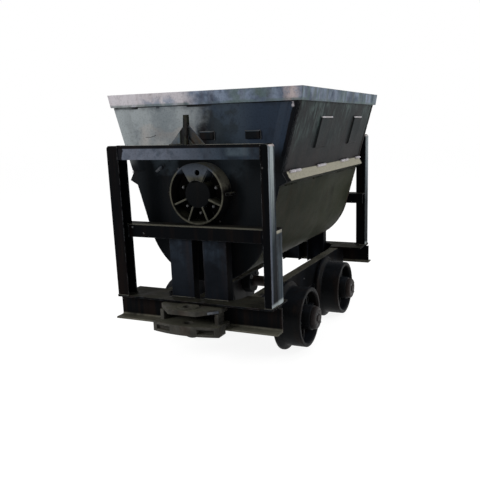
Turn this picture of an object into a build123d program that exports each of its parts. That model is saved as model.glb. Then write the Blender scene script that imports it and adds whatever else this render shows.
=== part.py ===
from build123d import *
import math
import os

os.makedirs("parts", exist_ok=True)

# Side-tipping mine car. Heights named _h are above the rail tops.
# The frame's zero is one flange height lower, where the wheel flanges end.

# Running gear
track_gauge = 600.0
wheelbase = 600.0
tread_r = 150.0
flange_h = 25.0
flange_w = 25.0
flange_play = 16.0
tread_w = 107.0
tread_t = 22.0
web_t = 16.0
flange_lip = 7.0
flange_root = 6.0
hub_r = 62.0
hub_out = 18.0
wheel_ribs = 6
wheel_rib_t = 12.0
wheel_rib_in = 26.0
axle_r = 32.0
cap_r = 57.0
cap_len = 28.0
bore_gap = 0.3

# Chassis
beam_bottom_h = 211.0
beam_sec_h = 117.0
beam_sec_b = 60.0
beam_t = 8.0
beam_fillet = 6.4
end_beam_half = 418.0
flange_past_post = 4.0
end_gap = 160.0
long_x = 250.0
long_b = 52.0
gusset_t = 8.0
gusset_r = 95.0
gusset_len = 112.0
post_x = 396.0
post_depth = 68.0
post_narrow = 34.0
post_wide = 58.0
sec_t = 6.0
portal_top_h = 1020.0
top_beam_h = 62.0
top_beam_b = 40.0
portal_r = 15.0
crossbar_h = 58.0
crossbar_w = 94.0
notch_gap = 2.0
inner_post_w = 58.0
inner_post_b = 40.0
pedestal_w = 117.0
pedestal_b = 50.0
pedestal_gap = 56.0
pedestal_clear = 2.0
mid_shift = 11.0
tent_half = 85.0
tent_top_half = 10.0
tent_back = 12.0
tent_h = 80.0
tent_t = 10.0
tent_rib_w = 18.0
tent_rib_past = 4.0
tent_rib_h = 124.0
seat_len = 130.0
seat_below = 36.0
seat_cut = 34.0

# Bumpers
pin_out = 35.0
pin_r = 20.0
nose_half = 155.0
nose_top_h = 312.0
nose_t = 22.0
nose_side_out = 6.0
nose_flat_share = 0.45
block_half = 168.0
cheek_t = 18.0
cheek_y = 28.0
cheek_in = 6.0
recess_w = 78.0
recess_h = 22.0
recess_x = 108.0
recess_in = 8.0
block_bottom_h = 197.0
block_t = 45.0
block_corner_out = 63.0
bumper_out = 88.0

# Hopper
hop_t = 5.0
end_t = 6.0
trough_r = 315.0
trough_h = 695.0
rim_top_h = 1247.0
rim_half_x = 490.0
rim_half_y = 622.0
rim_over = 14.0
rim_band = 57.0
rim_inset = 8.0
rim_leg = 20.0
rim_t = 6.0
rim_play = 4.0
knee_h = 861.0
knee_leg = 45.0
knee_t = 5.0
strip_w = 42.0
strip_t = 8.0
strip_ear_gap = 6.0
strip_rim_gap = 2.0
pad_w = 70.0
pad_h = 34.0
pad_t = 12.0
pad_edge = 3.0
pad_share = 0.46
pad_x = (28.0, 254.0)
stiff_t = 10.0
stiff_share = 0.463
stiff_mid_share = 0.537
stiff_edge = 4.0

# Roll rings
ring_h = 800.0
ring_r = 138.0
ring_wall = 9.0
ring_out = 82.0
ring_back = 10.0
ring_hub_r = 64.0
ring_rib_t = 9.0
ring_sector = 30.0
ring_ribs = (90.0 - ring_sector, 90.0 + ring_sector, 202.5, 247.5, 292.5, 337.5)
ring_rib_in = 7.0
ring_plate_t = 12.0
ring_hub_in = 14.0
ring_pin_r = 13.0
ring_pin_turn = 7.0
ring_stop = 22.0
ring_stop_t = 12.0
ring_stop_y = 60.0
ring_gap = 0.3

# Derived places
rail_z = flange_h
flange_r = tread_r + flange_h
axle_z = rail_z + tread_r
axle_y = wheelbase / 2
hop_half = rim_half_y - rim_over
end_face_y = rim_half_y + end_gap
pin_y = end_face_y + pin_out
block_corner_y = end_face_y + block_corner_out
bumper_y = end_face_y + bumper_out
flange_x = track_gauge / 2 - flange_play
wheel_back = flange_x - flange_w
wheel_face = flange_x + tread_w
beam_z = rail_z + beam_bottom_h
beam_top = beam_z + beam_sec_h
web_y = end_face_y - beam_sec_b + beam_t
beam_back = end_face_y - beam_sec_b
post_back = end_face_y - post_depth
long_top = beam_top - gusset_t
portal_top = rail_z + portal_top_h
ring_z = rail_z + ring_h
crossbar_top = ring_z - ring_r - ring_gap
inner_back = post_back - inner_post_w
trough_z = rail_z + trough_h
rim_top = rail_z + rim_top_h
sheet_top = rim_top - rim_t
top_x = rim_half_x - rim_t - rim_play
top_up = sheet_top - trough_z
lean = math.acos(trough_r / math.hypot(top_x, top_up)) - math.atan2(top_up, top_x)
wall_mid_x = trough_r / math.cos(lean)
tan_x = trough_r * math.cos(lean)
tan_z = trough_z - trough_r * math.sin(lean)
knee_z = rail_z + knee_h
knee_x = wall_mid_x + (knee_z - trough_z) * math.tan(lean)
knee_out = knee_leg / math.sqrt(2)
sheet_half = hop_half - end_t
slant_t = hop_t / math.cos(lean)
in_x = tan_x - hop_t * math.cos(lean)
in_z = tan_z + hop_t * math.sin(lean)
rear = Rotation(0, 0, 180)


# Trough sheet, knee to knee round the bottom
with BuildPart() as hopper_trough:
    with BuildSketch(Plane.XZ) as trough_section:
        with BuildLine():
            Line((knee_x, knee_z), (tan_x, tan_z))
            ThreePointArc((tan_x, tan_z), (0, trough_z - trough_r), (-tan_x, tan_z))
            Line((-tan_x, tan_z), (-knee_x, knee_z))
            Line((-knee_x, knee_z), (knee_x, knee_z))
        make_face()
        with BuildLine():
            Line((knee_x - slant_t, knee_z), (in_x, in_z))
            ThreePointArc((in_x, in_z), (0, trough_z - trough_r + hop_t), (-in_x, in_z))
            Line((-in_x, in_z), (-knee_x + slant_t, knee_z))
            Line((-knee_x + slant_t, knee_z), (knee_x - slant_t, knee_z))
        make_face(mode=Mode.SUBTRACT)
    extrude(amount=sheet_half, both=True)
hopper_trough.part.label = "hopper_trough"
export_step(hopper_trough.part, "parts/hopper_trough.step")

# Upper side sheets, knee to rim
with BuildPart() as side_sheet_r:
    with BuildSketch(Plane.XZ):
        with BuildLine():
            Polyline(
                (knee_x, knee_z),
                (top_x, sheet_top),
                (top_x - slant_t, sheet_top),
                (knee_x - slant_t, knee_z),
                close=True,
            )
        make_face()
    extrude(amount=sheet_half, both=True)
side_sheet_r.part.label = "side_sheet_r"
export_step(side_sheet_r.part, "parts/side_sheet_r.step")

side_sheet_l = rear * side_sheet_r.part
side_sheet_l.label = "side_sheet_l"
export_step(side_sheet_l, "parts/side_sheet_l.step")

# End plate with an ear over each knee angle
with BuildPart() as end_plate_f:
    with BuildSketch(Plane.XZ.offset(sheet_half)):
        with BuildLine():
            Line((top_x, sheet_top), (tan_x, tan_z))
            ThreePointArc((tan_x, tan_z), (0, trough_z - trough_r), (-tan_x, tan_z))
            Line((-tan_x, tan_z), (-top_x, sheet_top))
            Line((-top_x, sheet_top), (top_x, sheet_top))
        make_face()
        with BuildLine():
            Polyline(
                (knee_x + knee_out * math.sin(lean), knee_z + knee_out * math.cos(lean)),
                (knee_x + knee_out * math.cos(lean), knee_z - knee_out * math.sin(lean)),
                (knee_x - knee_out * math.sin(lean), knee_z - knee_out * math.cos(lean)),
                close=True,
            )
        make_face()
        with BuildLine():
            Polyline(
                (-knee_x - knee_out * math.sin(lean), knee_z + knee_out * math.cos(lean)),
                (-knee_x - knee_out * math.cos(lean), knee_z - knee_out * math.sin(lean)),
                (-knee_x + knee_out * math.sin(lean), knee_z - knee_out * math.cos(lean)),
                close=True,
            )
        make_face()
    extrude(amount=end_t)
end_plate_f.part.label = "end_plate_f"
export_step(end_plate_f.part, "parts/end_plate_f.step")

end_plate_r = rear * end_plate_f.part
end_plate_r.label = "end_plate_r"
export_step(end_plate_r, "parts/end_plate_r.step")

# Knee angle, corner out, along each side
with BuildPart() as knee_angle_r:
    with BuildSketch(Plane.XZ):
        with BuildLine():
            Polyline(
                (knee_x + knee_out * math.sin(lean), knee_z + knee_out * math.cos(lean)),
                (knee_x + knee_out * math.cos(lean), knee_z - knee_out * math.sin(lean)),
                (knee_x - knee_out * math.sin(lean), knee_z - knee_out * math.cos(lean)),
                close=True,
            )
        make_face()
        knee_in = knee_out - knee_t * math.sqrt(2)
        with BuildLine():
            Polyline(
                (knee_x + knee_in * math.sin(lean), knee_z + knee_in * math.cos(lean)),
                (knee_x + knee_in * math.cos(lean), knee_z - knee_in * math.sin(lean)),
                (knee_x - knee_in * math.sin(lean), knee_z - knee_in * math.cos(lean)),
                close=True,
            )
        make_face(mode=Mode.SUBTRACT)
    extrude(amount=sheet_half, both=True)
knee_angle_r.part.label = "knee_angle_r"
export_step(knee_angle_r.part, "parts/knee_angle_r.step")

knee_angle_l = rear * knee_angle_r.part
knee_angle_l.label = "knee_angle_l"
export_step(knee_angle_l, "parts/knee_angle_l.step")

# Rim angles, mitred at the corners
rim_bars = (
    # name, plane, half width, half length
    ("side", Plane.XZ, rim_half_x, rim_half_y),
    ("end", Plane.YZ, rim_half_y, rim_half_x),
)
for name, plane, half_out, half_len in rim_bars:
    with BuildPart() as rim_bar:
        with BuildSketch(plane):
            with BuildLine():
                Polyline(
                    (half_out, rim_top),
                    (half_out - rim_inset, rim_top - rim_band),
                    (half_out - rim_inset - rim_t, rim_top - rim_band),
                    (half_out - rim_t, sheet_top),
                    (half_out - rim_leg, sheet_top),
                    (half_out - rim_leg, rim_top),
                    close=True,
                )
            make_face()
        extrude(amount=half_len, both=True)
        if name == "side":
            first_cut = Plane((half_out, half_len, 0), x_dir=(0, 0, 1), z_dir=(1, -1, 0))
            second_cut = Plane((half_out, -half_len, 0), x_dir=(0, 0, 1), z_dir=(1, 1, 0))
        else:
            first_cut = Plane((half_len, half_out, 0), x_dir=(0, 0, 1), z_dir=(-1, 1, 0))
            second_cut = Plane((-half_len, half_out, 0), x_dir=(0, 0, 1), z_dir=(1, 1, 0))
        split(bisect_by=first_cut, keep=Keep.TOP)
        split(bisect_by=second_cut, keep=Keep.TOP)
    near = {"side": "rim_side_r", "end": "rim_end_r"}[name]
    far = {"side": "rim_side_l", "end": "rim_end_f"}[name]
    rim_near = rim_bar.part
    rim_near.label = near
    export_step(rim_near, "parts/" + near + ".step")
    rim_far = rear * rim_bar.part
    rim_far.label = far
    export_step(rim_far, "parts/" + far + ".step")

# Flat strips along the end plates' sloping edges, between ear and rim
strip_low = knee_z + knee_out * math.cos(lean) + strip_ear_gap
strip_high = rim_top - rim_band - strip_rim_gap
with BuildPart() as corner_strips:
    for side in (-1, 1):
        with BuildSketch(Plane.XZ.offset(hop_half)):
            with BuildLine():
                low_x = wall_mid_x + (strip_low - trough_z) * math.tan(lean)
                high_x = wall_mid_x + (strip_high - trough_z) * math.tan(lean)
                Polyline(
                    (side * low_x, strip_low),
                    (side * high_x, strip_high),
                    (side * (high_x - strip_w), strip_high),
                    (side * (low_x - strip_w), strip_low),
                    close=True,
                )
            make_face()
        extrude(amount=strip_t)
    mirror(about=Plane.XZ)
corner_strips.part.label = "corner_strips"
export_step(corner_strips.part, "parts/corner_strips.step")

# Raised stiffeners on the side sheets
wall_plane = Plane(origin=(knee_x, 0, knee_z), x_dir=(0, 1, 0), z_dir=(math.cos(lean), 0, -math.sin(lean)))
stiffeners = (
    # centre along the side, width
    (-193.0, 170.0),
    (342.0, 154.0),
)
stiff_room = (rim_top - rim_band - knee_z) / math.cos(lean) - knee_out
stiff_up = knee_out + stiff_mid_share * stiff_room
stiff_high = stiff_share * stiff_room
with BuildPart() as side_stiffeners:
    for along, width in stiffeners:
        with BuildSketch(wall_plane):
            with Locations((along, stiff_up)):
                Rectangle(width, stiff_high)
        extrude(amount=stiff_t)
    outer_faces = side_stiffeners.faces().filter_by(lambda f: f.normal_at().dot(wall_plane.z_dir) > 0.99)
    chamfer(outer_faces.edges(), stiff_edge)
    other_side = rear * side_stiffeners.part
    add(other_side)
side_stiffeners.part.label = "side_stiffeners"
export_step(side_stiffeners.part, "parts/side_stiffeners.step")

# Raised pads on the end plates, between roll ring and rim
pad_z = ring_z + ring_r + pad_share * (rim_top - rim_band - ring_z - ring_r)
with BuildPart() as end_pads:
    with BuildSketch(Plane.XZ.offset(hop_half)):
        for x in pad_x:
            with Locations((x, pad_z)):
                Rectangle(pad_w, pad_h)
    extrude(amount=pad_t)
    chamfer(end_pads.faces().sort_by(Axis.Y)[:2].edges(), pad_edge)
    other_end = rear * end_pads.part
    add(other_end)
end_pads.part.label = "end_pads"
export_step(end_pads.part, "parts/end_pads.step")

# Roll ring casting: back disc, rim, sunk hub and ribs, then the closed top sector with the
# locking pin's hole, and a stop on each side of the rim
ring_mid = (ring_r - ring_wall + ring_hub_r) / 2
ring_in = ring_r - ring_wall / 2
sector_x = ring_in * math.sin(math.radians(ring_sector))
sector_z = ring_z + ring_in * math.cos(math.radians(ring_sector))
pin_hole_x = ring_mid * math.sin(math.radians(ring_pin_turn))
pin_hole_z = ring_z + ring_mid * math.cos(math.radians(ring_pin_turn))
back_plane = Plane.XZ.offset(hop_half)
front_plane = Plane.XZ.offset(hop_half + ring_out)
with BuildPart() as roll_ring_f:
    with BuildSketch(back_plane):
        with Locations((0, ring_z)):
            Circle(ring_r)
    extrude(amount=ring_back)
    with BuildSketch(back_plane):
        with Locations((0, ring_z)):
            Circle(ring_r)
            Circle(ring_r - ring_wall, mode=Mode.SUBTRACT)
    extrude(amount=ring_out)
    with BuildSketch(back_plane):
        with Locations((0, ring_z)):
            Circle(ring_hub_r)
    extrude(amount=ring_out - ring_hub_in)
    with BuildSketch(back_plane):
        for turn in ring_ribs:
            with Locations((0, ring_z)):
                with PolarLocations(ring_mid, 1, start_angle=turn):
                    Rectangle(ring_r - ring_hub_r, ring_rib_t)
    extrude(amount=ring_out - ring_rib_in)
    with BuildSketch(front_plane):
        with BuildLine():
            Line((0, ring_z), (sector_x, sector_z))
            ThreePointArc((sector_x, sector_z), (0, ring_z + ring_in), (-sector_x, sector_z))
            Line((-sector_x, sector_z), (0, ring_z))
        make_face()
        with Locations((pin_hole_x, pin_hole_z)):
            Circle(ring_pin_r, mode=Mode.SUBTRACT)
    extrude(amount=-ring_plate_t)
    with BuildSketch(back_plane):
        with Locations((ring_r, ring_z), (-ring_r, ring_z)):
            Rectangle(2 * ring_stop, ring_stop_t)
        with Locations((0, ring_z)):
            Circle(ring_in, mode=Mode.SUBTRACT)
    extrude(amount=ring_stop_y)
roll_ring_f.part.label = "roll_ring_f"
export_step(roll_ring_f.part, "parts/roll_ring_f.step")

roll_ring_r = rear * roll_ring_f.part
roll_ring_r.label = "roll_ring_r"
export_step(roll_ring_r, "parts/roll_ring_r.step")

# End beam, a channel with its flanges outwards, the top one cut back to the posts
with BuildPart() as end_beam_f:
    with BuildSketch(Plane.YZ):
        with BuildLine():
            Polyline(
                (-end_face_y, beam_z),
                (-beam_back, beam_z),
                (-beam_back, beam_top),
                (-end_face_y, beam_top),
                (-end_face_y, beam_top - beam_t),
                (-web_y, beam_top - beam_t),
                (-web_y, beam_z + beam_t),
                (-end_face_y, beam_z + beam_t),
                close=True,
            )
        make_face()
    extrude(amount=end_beam_half, both=True)
    inner_corners = end_beam_f.edges().filter_by(Axis.X).group_by(Axis.Y)
    inner_corners = [e for g in inner_corners for e in g if abs(e.center().Y + web_y) < 0.01]
    fillet(inner_corners, beam_fillet)
    for side in (-1, 1):
        with Locations((side * (post_x + flange_past_post), -end_face_y, beam_top)):
            Box(
                end_beam_half,
                beam_sec_b,
                beam_t,
                align=({-1: Align.MAX, 1: Align.MIN}[side], Align.MIN, Align.MAX),
                mode=Mode.SUBTRACT,
            )
end_beam_f.part.label = "end_beam_f"
export_step(end_beam_f.part, "parts/end_beam_f.step")

end_beam_r = rear * end_beam_f.part
end_beam_r.label = "end_beam_r"
export_step(end_beam_r, "parts/end_beam_r.step")

# Longitudinals between the wheels, web outwards
with BuildPart() as long_beam_r:
    with BuildSketch(Plane.XZ):
        with BuildLine():
            Polyline(
                (long_x, long_top - beam_sec_h),
                (long_x, long_top),
                (long_x - long_b, long_top),
                (long_x - long_b, long_top - beam_t),
                (long_x - beam_t, long_top - beam_t),
                (long_x - beam_t, long_top - beam_sec_h + beam_t),
                (long_x - long_b, long_top - beam_sec_h + beam_t),
                (long_x - long_b, long_top - beam_sec_h),
                close=True,
            )
        make_face()
    extrude(amount=beam_back, both=True)
long_beam_r.part.label = "long_beam_r"
export_step(long_beam_r.part, "parts/long_beam_r.step")

long_beam_l = rear * long_beam_r.part
long_beam_l.label = "long_beam_l"
export_step(long_beam_l, "parts/long_beam_l.step")

# Flat gussets in the frame's corners, on the longitudinals
gusset_y = beam_back - gusset_len
with BuildPart() as corner_gussets:
    with BuildSketch(Plane.XY.offset(long_top)):
        with BuildLine():
            Line((long_x - long_b - gusset_r, -beam_back), (post_x, -beam_back))
            Line((post_x, -beam_back), (post_x, -gusset_y))
            Line((post_x, -gusset_y), (long_x - long_b, -gusset_y))
            Line((long_x - long_b, -gusset_y), (long_x - long_b, -beam_back + gusset_r))
            RadiusArc(
                (long_x - long_b, -beam_back + gusset_r), (long_x - long_b - gusset_r, -beam_back), gusset_r
            )
        make_face()
    extrude(amount=gusset_t)
    with Locations((0, -beam_back, long_top)):
        Box(
            pedestal_gap + 2 * (pedestal_w + mid_shift + pedestal_clear),
            2 * (pedestal_b + pedestal_clear),
            3 * gusset_t,
            mode=Mode.SUBTRACT,
        )
    mirror(about=Plane.YZ)
    mirror(about=Plane.XZ)
corner_gussets.part.label = "corner_gussets"
export_step(corner_gussets.part, "parts/corner_gussets.step")

# Portal posts, channels with the web outwards, one wide and one narrow
post_z = beam_top
posts = (
    # side, width
    (1, post_narrow),
    (-1, post_wide),
)
with BuildPart() as portal_posts_f:
    for side, width in posts:
        with BuildSketch(Plane.XY.offset(post_z)):
            with BuildLine():
                Polyline(
                    (side * post_x, -end_face_y),
                    (side * post_x, -post_back),
                    (side * (post_x - width), -post_back),
                    (side * (post_x - width), -post_back - sec_t),
                    (side * (post_x - sec_t), -post_back - sec_t),
                    (side * (post_x - sec_t), -end_face_y + sec_t),
                    (side * (post_x - width), -end_face_y + sec_t),
                    (side * (post_x - width), -end_face_y),
                    close=True,
                )
            make_face()
        extrude(amount=portal_top - post_z)
        with BuildSketch(Plane.XZ.offset(post_back - sec_t)):
            with Locations((side * (post_x - portal_r / 2), portal_top - portal_r / 2)):
                Rectangle(portal_r, portal_r)
            with Locations((side * (post_x - portal_r), portal_top - portal_r)):
                Circle(portal_r, mode=Mode.SUBTRACT)
        extrude(amount=post_depth + 2 * sec_t, mode=Mode.SUBTRACT)
portal_posts_f.part.label = "portal_posts_f"
export_step(portal_posts_f.part, "parts/portal_posts_f.step")

portal_posts_r = rear * portal_posts_f.part
portal_posts_r.label = "portal_posts_r"
export_step(portal_posts_r, "parts/portal_posts_r.step")

# Portal top beam between the posts, web outwards
with BuildPart() as top_beam_f:
    with BuildSketch(Plane.YZ.offset(-post_x + post_wide)):
        with BuildLine():
            Polyline(
                (-end_face_y, portal_top),
                (-end_face_y + top_beam_b, portal_top),
                (-end_face_y + top_beam_b, portal_top - sec_t),
                (-end_face_y + sec_t, portal_top - sec_t),
                (-end_face_y + sec_t, portal_top - top_beam_h + sec_t),
                (-end_face_y + top_beam_b, portal_top - top_beam_h + sec_t),
                (-end_face_y + top_beam_b, portal_top - top_beam_h),
                (-end_face_y, portal_top - top_beam_h),
                close=True,
            )
        make_face()
    extrude(amount=2 * post_x - post_wide - post_narrow)
top_beam_f.part.label = "top_beam_f"
export_step(top_beam_f.part, "parts/top_beam_f.step")

top_beam_r = rear * top_beam_f.part
top_beam_r.label = "top_beam_r"
export_step(top_beam_r, "parts/top_beam_r.step")

# Crossbar that carries the roll ring, notched round the posts
cross_front = inner_back - sec_t + crossbar_w
with BuildPart() as crossbar_f:
    with BuildSketch(Plane.XY.offset(crossbar_top)):
        with BuildLine():
            Polyline(
                (post_x, -inner_back + sec_t),
                (post_x, -post_back),
                (post_x - post_narrow - notch_gap, -post_back),
                (post_x - post_narrow - notch_gap, -cross_front),
                (-post_x + post_wide + notch_gap, -cross_front),
                (-post_x + post_wide + notch_gap, -post_back),
                (-post_x, -post_back),
                (-post_x, -inner_back + sec_t),
                close=True,
            )
        make_face()
    extrude(amount=-crossbar_h)
    with Locations((0, -(inner_back + cross_front - sec_t) / 2, crossbar_top - sec_t)):
        Box(
            2 * post_x + crossbar_w,
            crossbar_w - 2 * sec_t,
            crossbar_h,
            align=(Align.CENTER, Align.CENTER, Align.MAX),
            mode=Mode.SUBTRACT,
        )
crossbar_f.part.label = "crossbar_f"
export_step(crossbar_f.part, "parts/crossbar_f.step")

crossbar_r = rear * crossbar_f.part
crossbar_r.label = "crossbar_r"
export_step(crossbar_r, "parts/crossbar_r.step")

# Short inner post under the crossbar, behind the narrow post
with BuildPart() as inner_post_f:
    with BuildSketch(Plane.XY.offset(beam_top)):
        with BuildLine():
            Polyline(
                (post_x, -post_back),
                (post_x, -inner_back),
                (post_x - inner_post_b, -inner_back),
                (post_x - inner_post_b, -inner_back - sec_t),
                (post_x - sec_t, -inner_back - sec_t),
                (post_x - sec_t, -post_back + sec_t),
                (post_x - inner_post_b, -post_back + sec_t),
                (post_x - inner_post_b, -post_back),
                close=True,
            )
        make_face()
    extrude(amount=crossbar_top - sec_t - beam_top)
inner_post_f.part.label = "inner_post_f"
export_step(inner_post_f.part, "parts/inner_post_f.step")

inner_post_r = rear * inner_post_f.part
inner_post_r.label = "inner_post_r"
export_step(inner_post_r, "parts/inner_post_r.step")

# Pedestal stubs, two channels behind the end beam's web
with BuildPart() as pedestal_pair:
    with BuildSketch(Plane.XY.offset(beam_z)):
        with BuildLine():
            Polyline(
                (pedestal_gap / 2, -beam_back),
                (pedestal_gap / 2 + pedestal_w, -beam_back),
                (pedestal_gap / 2 + pedestal_w, -beam_back + pedestal_b),
                (pedestal_gap / 2 + pedestal_w - sec_t, -beam_back + pedestal_b),
                (pedestal_gap / 2 + pedestal_w - sec_t, -beam_back + sec_t),
                (pedestal_gap / 2 + sec_t, -beam_back + sec_t),
                (pedestal_gap / 2 + sec_t, -beam_back + pedestal_b),
                (pedestal_gap / 2, -beam_back + pedestal_b),
                close=True,
            )
        make_face()
    extrude(amount=crossbar_top - sec_t - beam_z)
    mirror(about=Plane.YZ)
pedestal_f = Pos(mid_shift, 0, 0) * pedestal_pair.part
pedestal_f.label = "pedestal_f"
export_step(pedestal_f, "parts/pedestal_f.step")

pedestal_r = rear * pedestal_f
pedestal_r.label = "pedestal_r"
export_step(pedestal_r, "parts/pedestal_r.step")

# Gusset brackets on the middle of the top beams
tent_y = end_face_y - top_beam_b / 2 - tent_back
with BuildPart() as top_bracket:
    with BuildSketch(Plane.XZ.offset(tent_y)):
        with BuildLine():
            Polyline(
                (-tent_half, portal_top),
                (tent_half, portal_top),
                (tent_top_half, portal_top + tent_h),
                (-tent_top_half, portal_top + tent_h),
                close=True,
            )
        make_face()
    extrude(amount=tent_t)
    with BuildSketch(Plane.YZ):
        with BuildLine():
            Polyline(
                (-end_face_y, portal_top),
                (-end_face_y + top_beam_b, portal_top),
                (-tent_y + tent_rib_past, portal_top + tent_rib_h),
                (-tent_y - tent_t - tent_rib_past, portal_top + tent_rib_h),
                close=True,
            )
        make_face()
    extrude(amount=tent_rib_w / 2, both=True)
first_bracket = Pos(mid_shift, 0, 0) * top_bracket.part
second_bracket = rear * first_bracket
with BuildPart() as top_brackets:
    add(first_bracket)
    add(second_bracket)
top_brackets.part.label = "top_brackets"
export_step(top_brackets.part, "parts/top_brackets.step")

# Bumper nose plate with the coupling pin's hole
nose_top = rail_z + nose_top_h
with BuildPart() as bumper_plate_f:
    with BuildSketch(Plane.XY.offset(nose_top)):
        with BuildLine():
            Polyline(
                (-nose_half, -web_y),
                (-nose_half, -end_face_y - nose_side_out),
                (-nose_half * nose_flat_share, -bumper_y),
                (nose_half * nose_flat_share, -bumper_y),
                (nose_half, -end_face_y - nose_side_out),
                (nose_half, -web_y),
                close=True,
            )
        make_face()
        with Locations((0, -pin_y)):
            Circle(pin_r, mode=Mode.SUBTRACT)
    extrude(amount=-nose_t)
bumper_plate_f.part.label = "bumper_plate_f"
export_step(bumper_plate_f.part, "parts/bumper_plate_f.step")

bumper_plate_r = rear * bumper_plate_f.part
bumper_plate_r.label = "bumper_plate_r"
export_step(bumper_plate_r, "parts/bumper_plate_r.step")

# Bumper block under it, with a bowed face and a tongue between the flanges
block_z = rail_z + block_bottom_h
cheek_x = nose_half - cheek_in - cheek_t / 2
with BuildPart() as bumper_block_f:
    with BuildSketch(Plane.XY.offset(block_z)):
        with BuildLine():
            Polyline(
                (block_half, -block_corner_y),
                (block_half, -end_face_y),
                (-block_half, -end_face_y),
                (-block_half, -block_corner_y),
            )
            ThreePointArc((-block_half, -block_corner_y), (0, -bumper_y), (block_half, -block_corner_y))
        make_face()
    extrude(amount=block_t)
    with Locations((0, -end_face_y, beam_z + beam_t)):
        Box(
            2 * block_half,
            end_face_y - web_y - beam_t,
            block_z + block_t - beam_z - beam_t,
            align=(Align.CENTER, Align.MIN, Align.MIN),
        )
    with BuildSketch(Plane.XY.offset(block_z + block_t)):
        with Locations((cheek_x, -end_face_y), (-cheek_x, -end_face_y)):
            Rectangle(cheek_t, 2 * cheek_y)
    extrude(amount=nose_top - nose_t - block_z - block_t)
    with BuildSketch(Plane.XZ.offset(bumper_y)):
        with Locations((recess_x, block_z + block_t / 2), (-recess_x, block_z + block_t / 2)):
            Rectangle(recess_w, recess_h)
    extrude(amount=-(bumper_y - block_corner_y + recess_in), mode=Mode.SUBTRACT)
    with BuildSketch(Plane.XY.offset(block_z)):
        with Locations((0, -pin_y)):
            Circle(pin_r)
    extrude(amount=block_t, mode=Mode.SUBTRACT)
bumper_block_f.part.label = "bumper_block_f"
export_step(bumper_block_f.part, "parts/bumper_block_f.step")

bumper_block_r = rear * bumper_block_f.part
bumper_block_r.label = "bumper_block_r"
export_step(bumper_block_r, "parts/bumper_block_r.step")

# Axle seats hung under the longitudinals
long_z = long_top - beam_sec_h
with BuildPart() as axle_seats:
    for y in (-axle_y, axle_y):
        with BuildSketch(Plane.YZ.offset(long_x - long_b)):
            seat_low = axle_z - axle_r - seat_below
            seat_mid = seat_low + seat_cut
            with BuildLine():
                Polyline(
                    (y - seat_len / 2, long_z),
                    (y + seat_len / 2, long_z),
                    (y + seat_len / 2, seat_mid),
                    (y + seat_len / 2 - seat_cut, seat_low),
                    (y - seat_len / 2 + seat_cut, seat_low),
                    (y - seat_len / 2, seat_mid),
                    close=True,
                )
            make_face()
            with Locations((y, axle_z)):
                Circle(axle_r + bore_gap, mode=Mode.SUBTRACT)
        extrude(amount=long_b)
    mirror(about=Plane.YZ)
axle_seats.part.label = "axle_seats"
export_step(axle_seats.part, "parts/axle_seats.step")

# Wheelsets
web_front = wheel_back + web_t
rim_in = tread_r - tread_t
wheel_section = (
    # radius, place along the axle
    (axle_r, wheel_back),
    (flange_r, wheel_back),
    (flange_r, flange_x - flange_lip),
    (tread_r, flange_x + flange_root),
    (tread_r, wheel_face),
    (rim_in, wheel_face),
    (rim_in, web_front),
    (hub_r, web_front),
    (hub_r, wheel_face + hub_out),
    (axle_r, wheel_face + hub_out),
)
with BuildPart() as wheel_pattern:
    with BuildSketch(Plane.XZ):
        with BuildLine():
            Polyline([(along, radius) for radius, along in wheel_section], close=True)
        make_face()
    revolve(axis=Axis.X)
    with BuildSketch(Plane.YZ.offset(web_front)):
        with PolarLocations((hub_r + rim_in) / 2, wheel_ribs, start_angle=30):
            Rectangle(rim_in - hub_r + wheel_rib_t / 2, wheel_rib_t)
    extrude(amount=wheel_face - wheel_rib_in - web_front)

wheel_pairs = (
    # name, centre along the track, turn on the axle
    ("wheels_f", -axle_y, 45.0),
    ("wheels_r", axle_y, -75.0),
)
for name, y, turn in wheel_pairs:
    right_wheel = Pos(0, y, axle_z) * Rotation(turn, 0, 0) * wheel_pattern.part
    left_wheel = Pos(0, y, axle_z) * Rotation(0, 0, 180) * Rotation(turn, 0, 0) * wheel_pattern.part
    with BuildPart() as wheel_pair:
        add(right_wheel)
        add(left_wheel)
    wheel_pair.part.label = name
    export_step(wheel_pair.part, "parts/" + name + ".step")

axle_end = wheel_face + hub_out
for name, y in (("f", -axle_y), ("r", axle_y)):
    with BuildPart() as axle:
        with BuildSketch(Plane.YZ):
            with Locations((y, axle_z)):
                Circle(axle_r)
        extrude(amount=axle_end, both=True)
    axle.part.label = "axle_" + name
    export_step(axle.part, "parts/axle_" + name + ".step")
    with BuildPart() as hub_caps:
        with BuildSketch(Plane.YZ.offset(axle_end)):
            with Locations((y, axle_z)):
                Circle(cap_r)
        extrude(amount=cap_len)
        mirror(about=Plane.YZ)
    hub_caps.part.label = "hub_caps_" + name
    export_step(hub_caps.part, "parts/hub_caps_" + name + ".step")
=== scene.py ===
import bmesh
import bpy
import math
from mathutils import Matrix, Vector, noise


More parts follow.
